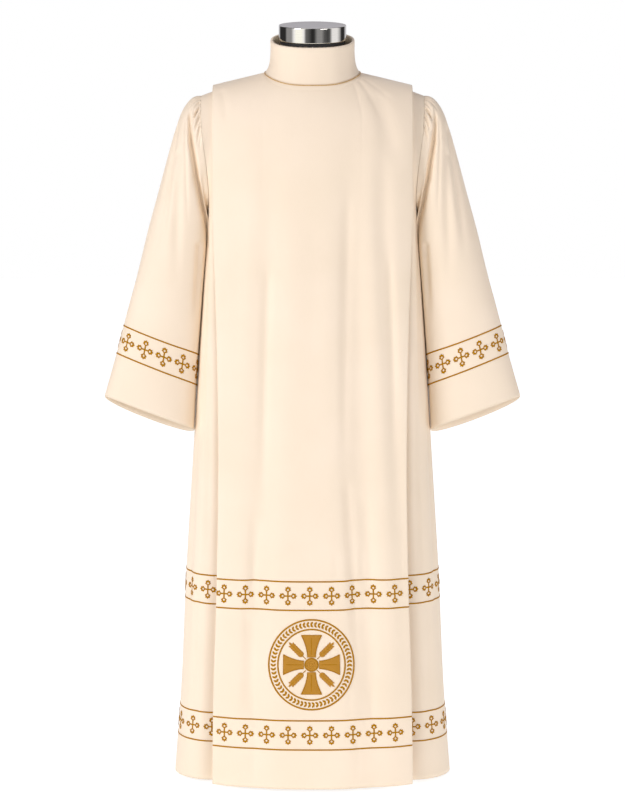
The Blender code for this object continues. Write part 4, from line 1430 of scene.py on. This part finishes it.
def make_neck_cord(material):
    """Fine gold cord in the seam between collar and neckline."""
    angles = np.linspace(-math.pi, math.pi, CORD_STEPS)[:-1]
    across, along = neck_oval(angles)
    reach = CORD_RADIUS / 2
    z = neck_height(angles) + CORD_RADIUS
    path = points((NECK_HALF_WIDTH + reach) * across, (NECK_HALF_DEPTH + reach) * along, z)
    data = bpy.data.curves.new("neck_cord", "CURVE")
    data.dimensions = "3D"
    data.bevel_depth = CORD_RADIUS
    data.bevel_resolution = 2
    line = data.splines.new("POLY")
    line.points.add(len(path) - 1)
    line.points.foreach_set("co", np.column_stack((path, np.ones(len(path)))).ravel())
    line.use_cyclic_u = True
    finish_piece(new_piece("neck_cord", data), material, "cloth")


def turned(name, profile, sides):
    """Turned piece from its profile of radii and heights, from its underside to its top."""
    work = bmesh.new()
    rings = []
    for radius, z in profile:
        if radius:
            angles = np.linspace(0, 2 * math.pi, sides, endpoint=False)
            rings.append([work.verts.new((radius * math.cos(a), radius * math.sin(a), z)) for a in angles])
        else:
            rings.append([work.verts.new((0, 0, z))] * sides)
    for low, high in zip(rings, rings[1:]):
        for i in range(sides):
            j = (i + 1) % sides
            work.faces.new(list(dict.fromkeys((low[i], low[j], high[j], high[i]))))
    mesh = bpy.data.meshes.new(name)
    work.to_mesh(mesh)
    work.free()
    mesh.shade_smooth()
    mesh.set_sharp_from_angle(angle=math.radians(SHARP_ANGLE))
    return new_piece(name, mesh)


def make_cap(side_material, top_material):
    """Steel neck cap: a bright turned side with fine bevels and a duller brushed top."""
    piece = turned("steel_cap", CAP_PROFILE, CAP_SIDES)
    finish_piece(piece, side_material, "neck_cap", "neck_cap")
    piece.data.materials.append(top_material)
    for face in piece.data.polygons:
        if face.normal.z > FLAT_NORMAL:
            face.material_index = 1


def make_torso(material):
    """Jersey cover of the torso: the node's own form, made smooth."""
    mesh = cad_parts["form_torso"].data.copy()
    piece = new_piece("torso_cover", mesh)
    finer = piece.modifiers.new("finer", "SUBSURF")
    finer.levels = 2
    finer.render_levels = 2
    mesh.shade_smooth()
    finish_piece(piece, material, "form_cover", "form_torso")


def aim(piece, place, target):
    """Puts a camera or light at a place and turns it towards a point."""
    piece.location = place
    piece.rotation_euler = (Vector(target) - Vector(place)).to_track_quat("-Z", "Y").to_euler()


def make_camera():
    """Camera at the photograph's place."""
    made = new_piece("camera", bpy.data.cameras.new("camera"))
    aim(made, CAMERA_PLACE, CAMERA_AIM)
    made.data.lens = CAMERA_LENS
    made.data.clip_end = CAMERA_FAR
    bpy.context.scene.camera = made


def make_light(name, place, side, power):
    """Soft square light, aimed at the middle of the object."""
    lamp = bpy.data.lights.new(name, "AREA")
    lamp.shape = "SQUARE"
    lamp.size = side
    lamp.energy = power
    lamp.color = LIGHT_COLOUR
    aim(new_piece(name, lamp), place, LIGHT_AIM)


def make_floor():
    """Plain pale floor, as bright as a lit white sweep."""
    profile = ((0.0, FLOOR_BOTTOM), (FLOOR_RADIUS, FLOOR_BOTTOM), (FLOOR_RADIUS, FLOOR_TOP), (0.0, FLOOR_TOP))
    made = turned("floor", profile, FLOOR_SIDES)
    surface, _, shader = new_material("floor")
    set_values(shader, FLOOR_FINISH)
    made.data.materials.append(surface)


def studio_ramp(tree, share):
    """Brightness of the studio's panels by a share of the way round it."""
    ramp = node(tree, "ShaderNodeValToRGB")
    stops = ramp.color_ramp.elements
    for n, (degrees, level) in enumerate(STUDIO_PANELS):
        place = 0.5 + degrees / 360
        if n in (0, len(STUDIO_PANELS) - 1):
            stop = stops[0 if n == 0 else -1]
            stop.position = place
        else:
            stop = stops.new(place)
        stop.color = (level, level, min(1.0, level * STUDIO_BLUE), 1.0)
    tree.links.new(share, ramp.inputs[0])
    return ramp.outputs[0]


def make_world():
    """Studio round the object: white to the eye, with soft dark and bright panels all round for its light."""
    world = bpy.data.worlds.new("studio")
    bpy.context.scene.world = world
    world.use_nodes = True
    tree = world.node_tree
    x, y = across_and_up(tree, node(tree, "ShaderNodeTexCoord").outputs["Generated"])
    turn = math_node(tree, "ARCTAN2", x, math_node(tree, "MULTIPLY", y, -1.0))
    share = math_node(tree, "ADD", math_node(tree, "MULTIPLY", turn, 0.5 / math.pi), 0.5)
    ground = tree.nodes["Background"]
    set_values(ground, {"Strength": STUDIO_STRENGTH})
    tree.links.new(studio_ramp(tree, share), ground.inputs["Color"])
    white = node(tree, "ShaderNodeBackground")
    set_values(white, {"Color": (1.0, 1.0, 1.0, 1.0)})
    both = node(tree, "ShaderNodeMixShader")
    rays = node(tree, "ShaderNodeLightPath").outputs["Is Camera Ray"]
    for n, source in enumerate((rays, ground.outputs[0], white.outputs[0])):
        tree.links.new(source, both.inputs[n])
    tree.links.new(both.outputs[0], tree.nodes["World Output"].inputs["Surface"])


def main():
    """The whole scene."""
    bpy.context.scene.view_settings.view_transform = "Standard"
    looks = make_materials()
    cloth, gold = looks["alb_cloth"], looks["gold_thread"]
    for name, side in (("front", -1), ("back", 1)):
        make_cloth(name, body_grid(side, body_rows()), cloth, closed=False)
    for name, hand in (("sleeve_left", -1), ("sleeve_right", 1)):
        make_cloth(name, sleeve_grid(hand, sleeve_rows()), cloth, closed=True)
        make_sleeve_band(name + "_band", hand, gold)
    make_collar(cloth)
    make_neck_cord(looks["gold_cord"])
    make_skirt_bands(gold)
    make_medallion(looks["pale_gold_thread"], gold)
    make_cap(looks["polished_steel"], looks["brushed_steel"])
    make_torso(looks["jersey"])
    for name, look in KEPT_NODES:
        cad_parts[name].material_slots[0].material = looks[look]
    make_floor()
    make_world()
    for lamp in LIGHTS:
        make_light(*lamp)
    make_camera()


main()
